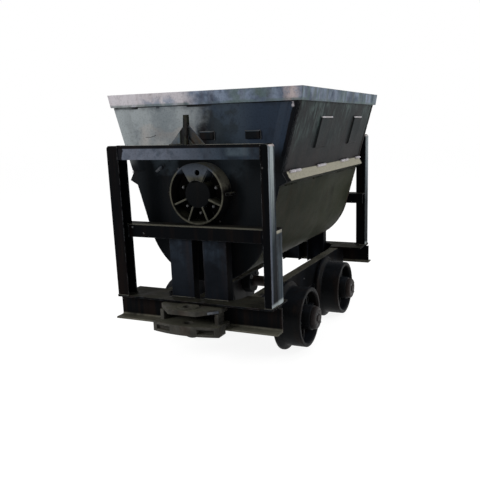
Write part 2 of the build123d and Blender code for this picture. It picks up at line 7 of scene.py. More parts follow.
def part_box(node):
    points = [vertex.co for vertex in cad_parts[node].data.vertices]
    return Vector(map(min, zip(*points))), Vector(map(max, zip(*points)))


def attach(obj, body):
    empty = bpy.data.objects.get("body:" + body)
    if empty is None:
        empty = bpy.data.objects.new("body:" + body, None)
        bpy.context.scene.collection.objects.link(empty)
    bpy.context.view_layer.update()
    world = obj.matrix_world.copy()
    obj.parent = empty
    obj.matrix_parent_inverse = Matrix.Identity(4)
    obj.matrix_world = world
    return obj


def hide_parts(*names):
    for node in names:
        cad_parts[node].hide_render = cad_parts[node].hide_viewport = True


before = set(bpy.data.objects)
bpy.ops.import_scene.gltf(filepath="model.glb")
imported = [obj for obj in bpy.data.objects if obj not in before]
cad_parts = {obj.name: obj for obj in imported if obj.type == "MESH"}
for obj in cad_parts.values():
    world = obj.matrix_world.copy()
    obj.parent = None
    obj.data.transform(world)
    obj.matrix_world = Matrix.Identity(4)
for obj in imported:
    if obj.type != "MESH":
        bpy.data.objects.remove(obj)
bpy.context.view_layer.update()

bl_info = {
    "name": "Side tipping ore cart",
    "version": (1, 0, 0),
    "blender": (4, 5, 0),
    "location": "3D View > Sidebar > Ore cart",
    "description": "Turns, casts, welds, bolts and paints the pieces of a side tipping ore cart",
    "category": "Object",
}


# Sizes and colours that a user would change

def metres(name, description, value):
    return bpy.props.FloatProperty(name=name, description=description, default=value, unit="LENGTH")


class CartSizes(bpy.types.PropertyGroup):
    """Sizes of the details, in metres."""

    turn_steps: bpy.props.IntProperty(
        name="Turning steps",
        description="Faces round each turned piece",
        default=96,
        min=24,
    )
    weld_pitch: metres("Weld ripple pitch", "Distance between the ripples of a weld bead", 0.005)
    weld_width: metres("Weld width", "Width of a weld bead", 0.011)
    bolt_flats: metres("Bolt head width", "Width across the flats of a bolt head", 0.024)
    bolt_height: metres("Bolt head height", "Height of a bolt head over its washer", 0.010)
    edge_round: metres("Edge rounding", "Radius that the paint and wear follow round an edge", 0.004)


def colour(name, description, value):
    return bpy.props.FloatVectorProperty(
        name=name,
        description=description,
        subtype="COLOR",
        size=3,
        min=0.0,
        max=1.0,
        default=value,
    )


class CartColours(bpy.types.PropertyGroup):
    """Colours of the finishes."""

    frame_black: colour("Frame black", "Black paint of the chassis", (0.0022, 0.0026, 0.0034))
    frame_blue: colour("Frame blue", "Thin blue black paint of the pedestals", (0.0085, 0.0108, 0.0150))
    beam_grey: colour("Beam grey", "Bleached blue grey of the top beams", (0.030, 0.044, 0.062))
    # Pale ends of the top beams: chalky paint and a painted reflection of the light
    beam_chalk: colour("Beam chalk", "Chalky end of the top beams", (0.105, 0.118, 0.150))
    # Grey on the posts' outer sides is partly a painted sheen on the faces that look sideways
    post_grey: colour("Post grey", "Weathered sides of the posts", (0.060, 0.080, 0.098))
    flange_dust: colour("Flange dust", "Olive dust on what lies flat", (0.050, 0.049, 0.036))
    end_black: colour("End black", "Black paint of the hopper ends", (0.0055, 0.0070, 0.0085))
    # Painted sheen: the hopper ends lighter towards the top
    end_blue: colour("End blue", "Blue black paint below the rim", (0.018, 0.027, 0.043))
    # Pale patch high on the left of the hopper ends: chalky paint and a painted reflection of the light
    end_chalk: colour("End chalk", "Chalky patch of the hopper ends", (0.245, 0.270, 0.280))
    chalk_beige: colour("Chalk beige", "Beige patch low on the hopper ends", (0.330, 0.305, 0.285))
    side_green: colour("Side green", "Grey green paint of the upper side sheets", (0.0165, 0.0215, 0.0230))
    side_brown: colour("Side brown", "Brown tint low on the side sheets", (0.0150, 0.0140, 0.0150))
    trough_olive: colour("Trough olive", "Olive grey paint of the trough", (0.0118, 0.0128, 0.0078))
    trough_green: colour("Trough green", "Green grey band below the knee", (0.0092, 0.0120, 0.0082))
    trough_dust: colour("Trough dust", "Dusty olive at the trough's far end", (0.0255, 0.0285, 0.0190))
    knee_dust: colour("Knee dust", "Pale dust on the knee angles", (0.325, 0.310, 0.250))
    flange_light: colour("Flange light", "Pale dust on the edges of the flanges", (0.110, 0.106, 0.084))
    # Pale outer sides of the posts: chalky paint and a painted sheen
    post_chalk: colour("Post chalk", "Chalky outer sides of the posts", (0.330, 0.375, 0.385))
    rim_blue: colour("Rim blue", "Blue grey paint of the rim angles", (0.172, 0.212, 0.282))
    rim_navy: colour("Rim navy", "Darker patches of the rim", (0.046, 0.062, 0.095))
    # Pale left end of the rim: chalky paint and a painted reflection of the light
    rim_chalk: colour("Rim chalk", "Chalky end of the rim", (0.450, 0.425, 0.450))
    rim_pink: colour("Rim pink", "Pinkish patch at the rim's corner", (0.460, 0.390, 0.385))
    bare_steel: colour("Bare steel", "Steel where the paint is gone", (0.180, 0.190, 0.205))
    rust: colour("Rust", "Brown rust", (0.050, 0.024, 0.012))
    cast_black: colour("Casting black", "Oily cast iron", (0.0028, 0.0032, 0.0036))
    cast_grey: colour("Casting grey", "Rubbed cast iron", (0.050, 0.060, 0.078))
    # Olive front faces of the roll rings: olive bloom and a painted highlight
    cast_olive: colour("Casting olive", "Olive bloom on the front of the roll rings", (0.075, 0.073, 0.056))
    bumper_olive: colour("Bumper olive", "Dusty iron of the bumpers", (0.052, 0.050, 0.044))
    cap_brown: colour("Cap brown", "Rubbed brown of the hub caps", (0.020, 0.016, 0.016))
    weld_grey: colour("Weld grey", "Grey of the weld beads", (0.120, 0.120, 0.122))
    weld_white: colour("Weld white", "Spatter white of the knee stitches", (0.520, 0.495, 0.540))
    rain_light: colour("Rain light", "Pale runs below the rim", (0.085, 0.120, 0.115))
    # Painted shade: black for the narrow edges of raised plates, where shadow falls
    shadow_soot: colour("Shadow soot", "Soot on the narrow edges of raised plates", (0.006, 0.007, 0.007))
    ore_scale: colour("Ore scale", "Rubbed scale inside the hopper", (0.060, 0.055, 0.052))


# Meshes

def add_piece(name, bm, body, finish, smooth=35.0):
    """Make an object of a bmesh, with sharp edges kept, riding on a body, in a finish."""
    bmesh.ops.recalc_face_normals(bm, faces=bm.faces)
    mesh = bpy.data.meshes.new(name)
    bm.to_mesh(mesh)
    bm.free()
    mesh.shade_smooth()
    mesh.set_sharp_from_angle(angle=math.radians(smooth))
    piece = bpy.data.objects.new(name, mesh)
    bpy.context.scene.collection.objects.link(piece)
    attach(piece, body)
    mesh.materials.append(bpy.data.materials[finish])
    return piece


def centre_of(low, high):
    """The middle of a box, on the cart's middle plane."""
    return Vector((0.0, (low.y + high.y) / 2, (low.z + high.z) / 2))


def bridge(bm, first, second):
    """Join two closed loops of points with faces."""
    for index in range(len(first)):
        after = (index + 1) % len(first)
        bm.faces.new((first[index], first[after], second[after], second[index]))


def rounded(corners, steps=4):
    """Round a closed outline's corners, each given as (first, second, radius)."""
    outline = []
    count = len(corners)
    for index, (first, second, radius) in enumerate(corners):
        here = Vector((first, second))
        if radius <= 0.0:
            outline.append(here)
            continue
        before = (Vector(corners[index - 1][:2]) - here).normalized()
        after = (Vector(corners[(index + 1) % count][:2]) - here).normalized()
        half = before.angle(after) / 2
        reach = radius / math.tan(half)
        middle = here + (before + after).normalized() * (radius / math.sin(half))
        start = here + before * reach - middle
        end = here + after * reach - middle
        sweep = start.angle_signed(end)
        for step in range(steps + 1):
            turn = Matrix.Rotation(-sweep * step / steps, 2)
            outline.append(middle + turn @ start)
    return outline


def turn_outline(bm, outline, centre, axis, side, steps):
    """Turn a closed (along, radius) outline about an axis through a centre."""
    other = Vector((0, 0, 1))
    third = axis.cross(other)
    rings = []
    for step in range(steps):
        angle = 2 * math.pi * step / steps
        out = other * math.cos(angle) + third * math.sin(angle)
        rings.append([bm.verts.new(centre + axis * (side * a) + out * r) for a, r in outline])
    for step in range(steps):
        bridge(bm, rings[step], rings[(step + 1) % steps])


def add_block(bm, centre, size, turn=None, bevel=0.0):
    """Add a closed block with rounded edges to a mesh."""
    made = bmesh.ops.create_cube(bm, size=1.0)["verts"]
    bmesh.ops.scale(bm, vec=size, verts=made)
    edges = list({edge for vert in made for edge in vert.link_edges})
    if bevel > 0.0:
        grown = bmesh.ops.bevel(
            bm, geom=edges, offset=bevel, offset_type="OFFSET", segments=2, profile=0.5, affect="EDGES"
        )
        kept = {vert for vert in made if vert.is_valid}
        made = list({vert for face in grown["faces"] for vert in face.verts} | kept)
    place = Matrix.Translation(centre)
    if turn is not None:
        place = place @ turn
    bmesh.ops.transform(bm, matrix=place, verts=made)


def close_poles(bm):
    """Join the points that meet on an axis."""
    bmesh.ops.remove_doubles(bm, verts=bm.verts, dist=1e-6)
    bmesh.ops.dissolve_degenerate(bm, dist=1e-6, edges=bm.edges)


def rounded_copy(node, body, radius, finish):
    """Replace a CAD node with a copy whose edges are rounded."""
    bm = bmesh.new()
    bm.from_mesh(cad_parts[node].data)
    bmesh.ops.remove_doubles(bm, verts=bm.verts, dist=1e-5)
    bmesh.ops.dissolve_limit(bm, angle_limit=math.radians(1), verts=bm.verts, edges=bm.edges)
    sharp = [edge for edge in bm.edges if edge.calc_face_angle(0.0) > math.radians(25)]
    bmesh.ops.bevel(
        bm, geom=sharp, offset=radius, offset_type="OFFSET", segments=3, profile=0.5, affect="EDGES",
        clamp_overlap=True,
    )
    piece = add_piece("rounded_" + node, bm, body, finish, smooth=30.0)
    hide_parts(node)


# Sizes and places that the pieces' boxes don't give, in metres, with those on an end given for the front

class wheel:
    """Wheel pattern."""

    back = 0.259
    flange_h = 0.025
    flange_w = 0.031
    lip = 0.018
    rim_t = 0.022
    web_t = 0.016
    hub_r = 0.062
    hub_out = 0.018
    axle_r = 0.032
    rib_t = 0.012
    rib_in = 0.026
    hole_r = 0.015
    hole_pos = 0.096
    boss_t = 0.075
    boss_wall = 0.008
    ribs = 6
    turns = (
        # end, degrees that its wheels stand turned
        ("f", 45.0),
        ("r", -75.0),
    )
    cap_len = 0.028
    screws = 4
    screw_reach = 0.040
    screw_sunk = 0.0045


class roll_ring:
    """Roll ring pattern."""

    wall = 0.009
    back = 0.010
    hub_r = 0.064
    hub_in = 0.014
    rib_t = 0.009
    rib_in = 0.007
    plate_t = 0.012
    pin_r = 0.013
    pin_turn = math.radians(7)
    ribs = (60.0, 120.0, 202.5, 247.5, 292.5, 337.5)
    bolts = (18.0, 162.0, 220.0, 270.0, 320.0)
    bolt_reach = 0.088
    boss_r = 0.008
    boss_top = 0.046
    stop = 0.022
    stop_t = 0.012
    stop_y = 0.060
    edge = 0.0025


class rolling:
    """Steps and dents of the trough sheet."""

    arc_steps = 56
    lengths = 60
    dent = 0.004
    dents = 6.0
    fade_ends = 4
    fade_edges = 3


class bumper:
    """Places on the nose of each bumper."""

    pin_y = 0.817
    pin_r = 0.021
    boss_back = 0.009
    boss_levels = (
        # half width, half depth (0 at the hole), height
        (0.055, 0.044, 0.0),
        (0.050, 0.040, 0.005),
        (0.0, 0.0, 0.005),
        (0.0, 0.0, -0.001),
    )
    bar_ends = (
        # share of the nose's half width, distance from the cart's middle
        (0.70, 0.834),
        (0.94, 0.797),
    )
    bar_drop = 0.014
    bar_size = (0.010, 0.011)
    edge = 0.005


class bracket:
    """Gusset bracket on a top beam."""

    face_y = 0.760
    half = 0.085
    rib_half = 0.0095
    rib_top = 0.045


class pedestal:
    """Edges of a pedestal's channel, from the middle of the pair."""

    inner = 0.028
    outer = 0.145


class seat_bolt:
    """Bolts of an axle seat, from its middle and its box."""

    half = 0.045
    inward = 0.052
    down = 0.018


class seam:
    """How far seams keep from the edges that they join."""

    gap = 0.004
    lift = 0.001
    beside = 0.009
    short = 0.010
    cap_share = 0.42
    cap_up = 0.002
    cap_out = 0.004
    stitch_off = 0.27
    stitch_half = 0.21
    stitch_high = 0.0075
    stitch_low = 0.002


along_x = Vector((1, 0, 0))
along_y = Vector((0, 1, 0))

# Faces round a hole, how far ribs and stops reach into what they join, and the step to a sector's edge
hole_steps = 48
bite = 0.002
sector_step = 0.0005

axle_y = 0.3
sheet_t = 0.005
stiffener_t = 0.010
stiffener_places = (
    # centre along the side, width
    (-0.193, 0.170),
    (0.342, 0.154),
)
knee_stitches = (
    # middle along the side, length
    (-0.468, 0.120),
    (-0.102, 0.120),
    (0.295, 0.140),
    (0.560, 0.080),
)
pad_places = (
    # middles across the end plate
    0.028, 0.254,
)
pad_half = 0.035
filler_short = 0.002
filler_section = (
    # in from the wall, out from the end plate
    (0.026, 0.0040), (0.026, 0.0076), (0.038, 0.0082), (0.045, 0.0076), (0.054, 0.0054),
    (0.066, 0.0026), (0.080, -0.0006), (0.090, -0.0030), (0.090, -0.0045), (0.046, -0.0045),
)
scratch_places = (
    # x, z on the end plate
    (-0.297, 1.0768), (-0.285, 1.0760), (-0.270, 1.0772), (-0.256, 1.0805), (-0.246, 1.0850),
)
lug_stub = (
    # x, z on the end plate
    (-0.248, 0.921), (-0.222, 0.940),
)
stub_out = 0.005
plate_bolts = (
    # x, z on the end plate
    (-0.1325, 0.9314), (0.071, 0.694),
)
side_bolts = (
    # heights on the long beam
    0.295, 0.241,
)
side_bolt_y = 0.013
crossbar_bolts = (
    # x, z
    (-0.314, 0.675), (-0.254, 0.648),
)
post_bolts = (
    # x, z
    (0.371, 0.949),
)


class hopper_wall:
    """The leaning side wall's outer face, worked out from the sheets' boxes."""

    def __init__(self):
        low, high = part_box("hopper_trough")
        sheet_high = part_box("side_sheet_r")[1]
        self.knee_x = high.x
        self.knee_z = high.z
        self.end_y = high.y
        self.lean = math.atan2(sheet_high.x - high.x, sheet_high.z - high.z)
        across = self.knee_x * math.cos(self.lean)
        self.radius = (across - (self.knee_z - low.z) * math.sin(self.lean)) / (1 - math.sin(self.lean))
        self.centre = Vector((0.0, low.z + self.radius))

    def up_to(self, z):
        """How far up the wall from the knee a height is."""
        return (z - self.knee_z) / math.cos(self.lean)

    def arc(self, radius, steps):
        """Points (x, z) round the bottom, from one wall to the other."""
        points = []
        for step in range(steps + 1):
            angle = self.lean + (math.pi - 2 * self.lean) * step / steps
            points.append(Vector((math.cos(angle), -math.sin(angle))) * radius + self.centre)
        return points

    def point(self, up, out, y, side):
        """A place up the wall from the knee and out from it."""
        x = self.knee_x + up * math.sin(self.lean) + out * math.cos(self.lean)
        z = self.knee_z + up * math.cos(self.lean) - out * math.sin(self.lean)
        return Vector((side * x, y, z))


# Welds and bolts

def hopper_seams():
    """Lines along which the hopper's plates are welded."""
    wall = hopper_wall()
    seams = []
    knee = wall.up_to(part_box("knee_angle_r")[1].z)
    rim_low = wall.up_to(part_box("rim_side_r")[0].z)
    for end in (-1, 1):
        y = end * wall.end_y
        for side in (-1, 1):
            seams.append([wall.point(knee + seam.gap, 0, y, side), wall.point(rim_low, 0, y, side)])
            beside = y - end * seam.beside
            ends = (knee + seam.short, rim_low - seam.short)
            seams.append([wall.point(up, seam.lift, beside, side) for up in ends])
        arc = [Vector((place.x, y, place.y)) for place in wall.arc(wall.radius, 32)]
        first, last = (wall.point(-knee - seam.gap, 0, y, side) for side in (1, -1))
        seams.append([first, *arc, last])
    return seams


def knee_seams(upper):
    """Short beads along the upper or the lower edge of each knee angle."""
    wall = hopper_wall()
    knee = wall.up_to(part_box("knee_angle_r")[1].z)
    seams = []
    for side in (-1, 1):
        for middle, length in knee_stitches:
            for part in (-1, 1):
                y = side * (middle + part * length * seam.stitch_off)
                half = length * seam.stitch_half
                up, out = (knee, seam.stitch_high) if upper else (-knee, seam.stitch_low)
                seams.append([wall.point(up, out, y - half, side), wall.point(up, out, y + half, side)])
    return seams


def stiffener_caps():
    """The thick bead along the top of each stiffener."""
    wall = hopper_wall()
    up = wall.up_to(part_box("side_stiffeners")[1].z)
    seams = []
    for side in (-1, 1):
        for middle, width in stiffener_places:
            half = width * seam.cap_share
            ends = (side * (middle - half), side * (middle + half))
            seams.append([wall.point(up + seam.cap_up, seam.cap_out, y, side) for y in ends])
    return seams


def stiffener_seams():
    """Round each stiffener on the two side sheets."""
    wall = hopper_wall()
    seams = []
    low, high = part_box("side_stiffeners")
    low_up = wall.up_to(low.z + stiffener_t * math.sin(wall.lean))
    high_up = wall.up_to(high.z)
    for side in (-1, 1):
        for middle, width in stiffener_places:
            corners = (
                (low_up, -width / 2), (high_up, -width / 2), (high_up, width / 2), (low_up, width / 2),
            )
            loop = [wall.point(up, seam.lift, side * (middle + along), side) for up, along in corners]
            seams.append(loop + [loop[0]])
    return seams


def pad_lit_edge_seams():
    """Over the tops and outer edges of the two raised pads on each end plate, where the pale beads are
    partly a painted highlight.
    """
    low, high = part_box("end_pads")
    plate_y = -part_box("end_plate_f")[0].y
    seams = []
    for end in (-1, 1):
        for x in pad_places:
            corners = ((x - pad_half, high.z), (x + pad_half, high.z), (x + pad_half, low.z))
            seams.append([Vector((-end * cx, end * (plate_y + seam.lift), z)) for cx, z in corners])
    return seams


def scratch_seams():
    """A curved scratch on each end plate."""
    plate_y = -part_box("end_plate_f")[0].y
    return [[Vector((-end * x, end * plate_y, z)) for x, z in scratch_places] for end in (-1, 1)]


def scrape_seams():
    """Stubs of a lug that was cut off beside each roll ring."""
    plate_y = stub_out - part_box("end_plate_f")[0].y
    return [[Vector((-end * x, end * plate_y, z)) for x, z in lug_stub] for end in (-1, 1)]


def chassis_seams():
    """Lines along which the frame's sections are welded."""
    seams = []
    beam_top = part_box("end_beam_f")[1].z
    posts_low, posts_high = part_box("portal_posts_f")
    top_low, top_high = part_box("top_beam_f")
    bar_low, bar_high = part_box("crossbar_f")
    inner_low, inner_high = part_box("inner_post_f")
    stub_low, stub_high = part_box("pedestal_f")
    bracket_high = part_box("top_brackets")[1]
    middle = (stub_low.x + stub_high.x) / 2
    out_x = posts_high.x
    for end in (-1, 1):
        front = end * -posts_low.y
        behind = end * -posts_high.y
        shift = -end * middle
        for side in (-1, 1):
            narrow = side != end
            in_x = side * (top_high.x if narrow else -top_low.x)
            edge_x = side * out_x
            seams.append([
                Vector((in_x, front, beam_top)), Vector((edge_x, front, beam_top)),
                Vector((edge_x, behind, beam_top)), Vector((in_x, behind, beam_top)),
            ])
            joint_top = top_high.z - seam.short
            seams.append([Vector((in_x, front, top_low.z)), Vector((in_x, front, joint_top))])
            bar_y = end * -bar_low.y
            seams.append([Vector((in_x, bar_y, bar_low.z)), Vector((in_x, bar_y, bar_high.z))])
            if narrow:
                inner_y = end * -inner_high.y
                seams.append([
                    Vector((side * inner_low.x, inner_y, beam_top)), Vector((edge_x, inner_y, beam_top)),
                ])
            for z in (beam_top, bar_low.z):
                edges = (shift + side * pedestal.inner, shift + side * pedestal.outer)
                seams.append([Vector((x, end * -stub_low.y, z)) for x in edges])
        foot_y = end * bracket.face_y
        seams.append([
            Vector((shift + along, foot_y, top_high.z)) for along in (-bracket.half, bracket.half)
        ])
        for x in (shift - bracket.rib_half, shift + bracket.rib_half):
            rib_top = bracket_high.z - bracket.rib_top
            seams.append([Vector((x, foot_y, top_high.z)), Vector((x, foot_y, rib_top))])
    return seams


def end_place(end, x, y, z):
    """A place on an end of the cart, and the way that its bolt looks."""
    return Vector((-end * x, end * y, z)), Vector((0, end, 0))


def bolt_rows():
    """Name, body, scale and (place, way) of each set of bolts."""
    plate_y = -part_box("end_plate_f")[0].y
    bar_y = -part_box("crossbar_f")[0].y
    post_y = -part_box("portal_posts_f")[0].y
    beam_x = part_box("long_beam_r")[1].x
    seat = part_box("axle_seats")[1]
    ring = [corner.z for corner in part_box("roll_ring_f")]
    rings = []
    plates = []
    beams = []
    small = []
    seats = []
    for end in (-1, 1):
        for clock in roll_ring.bolts:
            angle = math.radians(clock)
            x = roll_ring.bolt_reach * math.cos(angle)
            z = sum(ring) / 2 + roll_ring.bolt_reach * math.sin(angle)
            rings.append(end_place(end, x, plate_y + roll_ring.boss_top, z))
        plates += [end_place(end, x, plate_y, z) for x, z in plate_bolts]
        small += [end_place(end, x, bar_y, z) for x, z in crossbar_bolts]
        small += [end_place(end, x, post_y, z) for x, z in post_bolts]
    for side in (-1, 1):
        for z in side_bolts:
            beams.append((Vector((side * beam_x, -side * side_bolt_y, z)), Vector((side, 0, 0))))
        for axle in (-axle_y, axle_y):
            for along in (-seat_bolt.half, seat_bolt.half):
                place = Vector((side * (seat.x - seat_bolt.inward), axle + along, seat.z - seat_bolt.down))
                seats.append((place, Vector((-side, 0, 0))))
    rows = [
        # name, body, size as a share of the usual, places
        ("ring_bolts", "hopper", 0.42, rings),
        ("plate_bolts", "hopper", 0.30, plates),
        ("small_bolts", "chassis", 0.28, beams + small),
        ("frame_bolts", "chassis", 0.9, seats),
    ]
    for end, y in (("f", -axle_y), ("r", axle_y)):
        low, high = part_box("hub_caps_" + end)
        places = []
        for side in (-1, 1):
            for step in range(wheel.screws):
                angle = 2 * math.pi * (step + 0.5) / wheel.screws
                way = Vector((0, math.cos(angle), math.sin(angle))) * wheel.screw_reach
                middle = Vector((side * (high.x - wheel.screw_sunk), y, (low.z + high.z) / 2))
                places.append((middle + way, Vector((side, 0, 0))))
        rows.append(("cap_screws_" + end, "wheelset_" + end, 0.38, places))
    return rows


# Node trees

def feed(tree, socket, value):
    """Link a socket to another one, or set its value."""
    if isinstance(value, bpy.types.NodeSocket):
        tree.links.new(value, socket)
    elif value is not None:
        socket.default_value = value


def add_node(tree, kind, **given):
    """Add a node: keywords in small letters are its settings, the others its sockets."""
    made = tree.nodes.new(kind)
    for name, value in given.items():
        if name.islower():
            setattr(made, name, value)
        else:
            feed(tree, made.inputs[name.replace("_", " ")], value)
    return made


def add_math(tree, operation, first, second=None, clamp=False):
    """The result of a sum with one or two values."""
    made = add_node(tree, "ShaderNodeMath", operation=operation, use_clamp=clamp)
    feed(tree, made.inputs[0], first)
    feed(tree, made.inputs[1], second)
    return made.outputs[0]


def plus(tree, first, second, clamp=False):
    return add_math(tree, "ADD", first, second, clamp)


def minus(tree, first, second):
    return add_math(tree, "SUBTRACT", first, second)


def times(tree, first, second, clamp=False):
    return add_math(tree, "MULTIPLY", first, second, clamp)


def new_group(name, inputs, outputs, kind="ShaderNodeTree", also=()):
    """Start a node group with (name, kind) inputs, (name, default) inputs and (name, kind) outputs."""
    tree = bpy.data.node_groups.new(name, kind)
    for label, sort in also:
        tree.interface.new_socket(label, in_out="INPUT", socket_type=sort)
    for label, default in inputs:
        socket = tree.interface.new_socket(label, in_out="INPUT", socket_type="NodeSocketFloat")
        socket.default_value = default
    for label, sort in outputs:
        tree.interface.new_socket(label, in_out="OUTPUT", socket_type=sort)
    return tree, tree.nodes.new("NodeGroupInput").outputs, tree.nodes.new("NodeGroupOutput").inputs


def start_tree(name, inputs):
    """A geometry node tree with a mesh and a finish in, named inputs, and a mesh out."""
    return new_group(
        name, inputs, (("Geometry", "NodeSocketGeometry"),), "GeometryNodeTree",
        (("Geometry", "NodeSocketGeometry"), ("Finish", "NodeSocketMaterial")),
    )


def end_tree(tree, made, source, sink, smooth=True):
    """Realize, shade and give the finish."""
    real = add_node(tree, "GeometryNodeRealizeInstances", Geometry=made.outputs["Instances"])
    shade = add_node(
        tree, "GeometryNodeSetShadeSmooth", Geometry=real.outputs["Geometry"], Shade_Smooth=smooth
    )
    finish = add_node(
        tree, "GeometryNodeSetMaterial", Geometry=shade.outputs["Geometry"], Material=source["Finish"]
    )
    tree.links.new(finish.outputs["Geometry"], sink["Geometry"])


def random_value(tree, low, high, seed):
    made = add_node(tree, "FunctionNodeRandomValue", data_type="FLOAT", Seed=seed)
    made.inputs[2].default_value = low
    made.inputs[3].default_value = high
    return made.outputs[1]


def build_weld_tree():
    """Rippled beads along the edges of a mesh."""
    tree, source, sink = start_tree("weld_bead", (("Pitch", 0.005), ("Width", 0.011)))
    line = add_node(tree, "GeometryNodeMeshToCurve", Mesh=source["Geometry"])
    spaced = add_node(
        tree, "GeometryNodeResampleCurve", mode="LENGTH", Curve=line.outputs["Curve"], Length=source["Pitch"]
    )
    ball = add_node(tree, "GeometryNodeMeshIcoSphere", Radius=1.0, Subdivisions=2)
    tangent = add_node(tree, "GeometryNodeInputTangent")
    turn = add_node(
        tree, "FunctionNodeAlignRotationToVector", axis="X", Vector=tangent.outputs["Tangent"]
    )
    size = add_node(
        tree, "ShaderNodeCombineXYZ", X=times(tree, source["Pitch"], 0.95),
        Y=times(tree, source["Width"], random_value(tree, 0.40, 0.56, 7)),
        Z=times(tree, source["Width"], random_value(tree, 0.30, 0.42, 11)),
    )
    placed = add_node(
        tree, "GeometryNodeInstanceOnPoints", Points=spaced.outputs["Curve"], Instance=ball.outputs["Mesh"],
        Rotation=turn.outputs["Rotation"], Scale=size.outputs["Vector"],
    )
    end_tree(tree, placed, source, sink)
    return tree


def build_bolt_tree():
    """Hexagon head on a washer at each point, along its way attribute."""
    tree, source, sink = start_tree("bolt_head", (("Flats", 0.024), ("Height", 0.010)))
    joined = add_node(tree, "GeometryNodeJoinGeometry")
    parts = (
        # corners, bottom radius, top radius (in flats), bottom, top (in heights)
        (24, 0.68, 0.68, 0.0, 0.20),
        (6, 0.577, 0.577, 0.15, 0.90),
        (6, 0.577, 0.47, 0.90, 1.10),
        (12, 0.30, 0.26, 1.10, 1.35),
    )
    for corners, wide, narrow, bottom, top in parts:
        cone = add_node(
            tree, "GeometryNodeMeshCone", Vertices=corners, Radius_Bottom=times(tree, source["Flats"], wide),
            Radius_Top=times(tree, source["Flats"], narrow),
            Depth=times(tree, source["Height"], top - bottom),
        )
        lift = add_node(tree, "ShaderNodeCombineXYZ", Z=times(tree, source["Height"], bottom))
        moved = add_node(
            tree, "GeometryNodeTransform", Geometry=cone.outputs["Mesh"], Translation=lift.outputs["Vector"]
        )
        tree.links.new(moved.outputs["Geometry"], joined.inputs["Geometry"])
    way = add_node(tree, "GeometryNodeInputNamedAttribute", data_type="FLOAT_VECTOR", Name="way")
    turn = add_node(tree, "FunctionNodeAlignRotationToVector", axis="Z", Vector=way.outputs["Attribute"])
    spin = add_node(
        tree, "FunctionNodeAxisAngleToRotation", Axis=(0.0, 0.0, 1.0), Angle=random_value(tree, 0.0, 1.05, 5)
    )
    turns = add_node(
        tree, "FunctionNodeRotateRotation", rotation_space="LOCAL", Rotation=turn.outputs["Rotation"],
        Rotate_By=spin.outputs["Rotation"],
    )
    placed = add_node(
        tree, "GeometryNodeInstanceOnPoints", Points=source["Geometry"], Instance=joined.outputs["Geometry"],
        Rotation=turns.outputs["Rotation"],
    )
    end_tree(tree, placed, source, sink, smooth=False)
    return tree


def grow(name, body, lines, ways, tree, finish, values):
    """Run a tree on points joined by lines, and keep its result as a plain piece."""
    points = [point for line in lines for point in line]
    edges = []
    start = 0
    for line in lines:
        edges += [(start + index, start + index + 1) for index in range(len(line) - 1)]
        start += len(line)
    mesh = bpy.data.meshes.new(name + "_guide")
    mesh.from_pydata(points, edges, [])
    if ways is not None:
        way = mesh.attributes.new("way", "FLOAT_VECTOR", "POINT")
        for index, value in enumerate(ways):
            way.data[index].vector = value
    guide = bpy.data.objects.new(name + "_guide", mesh)
    bpy.context.scene.collection.objects.link(guide)
    modifier = guide.modifiers.new(name, "NODES")
    modifier.node_group = tree
    given = dict(values, Finish=bpy.data.materials[finish])
    for socket in tree.interface.items_tree:
        if socket.in_out == "INPUT" and socket.name in given:
            modifier[socket.identifier] = given[socket.name]
    bpy.context.view_layer.update()
    ready = guide.evaluated_get(bpy.context.evaluated_depsgraph_get())
    made = bpy.data.meshes.new_from_object(ready)
    made.name = name
    if not made.polygons:
        raise RuntimeError(name + " came out empty")
    piece = bpy.data.objects.new(name, made)
    bpy.context.scene.collection.objects.link(piece)
    bpy.data.objects.remove(guide)
    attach(piece, body)


# Shader groups

mask = ("Mask", "NodeSocketFloat")


def add_range(tree, value, low, high):
    """Smooth step of a value from low to high."""
    made = add_node(tree, "ShaderNodeMapRange", interpolation_type="SMOOTHSTEP", Value=value)
    feed(tree, made.inputs["From Min"], low)
    feed(tree, made.inputs["From Max"], high)
    return made.outputs["Result"]


def add_dot(tree, first, second):
    """How far two directions agree."""
    made = add_node(tree, "ShaderNodeVectorMath", operation="DOT_PRODUCT")
    feed(tree, made.inputs[0], first)
    feed(tree, made.inputs[1], second)
    return made.outputs["Value"]


def add_noise(tree, place, scale, detail, **more):
    made = add_node(tree, "ShaderNodeTexNoise", Vector=place, Scale=scale, Detail=detail, **more)
    return made.outputs["Fac"]


def add_runs(tree, place, stretch, detail, **more):
    """Noise drawn out in upright runs."""
    drawn = add_node(tree, "ShaderNodeMapping", Vector=place, Scale=stretch)
    return add_noise(tree, drawn.outputs["Vector"], 1.0, detail, **more)


def mix_colour(tree, factor, first, second):
    """Mix two colours, each of them a socket or three numbers."""
    made = add_node(tree, "ShaderNodeMix", data_type="RGBA")
    feed(tree, made.inputs[0], factor)
    for index, value in ((6, first), (7, second)):
        feed(tree, made.inputs[index], (*value, 1.0) if isinstance(value, tuple) else value)
    return made.outputs[2]


def parts_of(tree, vector):
    return add_node(tree, "ShaderNodeSeparateXYZ", Vector=vector).outputs


def build_edge_wear():
    """Worn edges: a mask where edges stand out, broken up by grain, and the rounded normal."""
    tree, source, sink = new_group(
        "edge_wear", (("Radius", 0.004), ("Amount", 1.0), ("Breakup", 40.0)),
        (mask, ("Normal", "NodeSocketVector")),
    )
    place = add_node(tree, "ShaderNodeTexCoord").outputs
    soft = add_node(tree, "ShaderNodeBevel", samples=6, Radius=source["Radius"])
    plain = add_node(tree, "ShaderNodeNewGeometry")
    bend = minus(tree, 1.0, add_dot(tree, soft.outputs["Normal"], plain.outputs["Normal"]))
    grain = add_noise(tree, place["Object"], source["Breakup"], 4.0)
    worn = times(tree, add_range(tree, bend, 0.02, 0.16), add_range(tree, grain, 0.36, 0.62))
    tree.links.new(times(tree, worn, source["Amount"], clamp=True), sink["Mask"])
    tree.links.new(soft.outputs["Normal"], sink["Normal"])


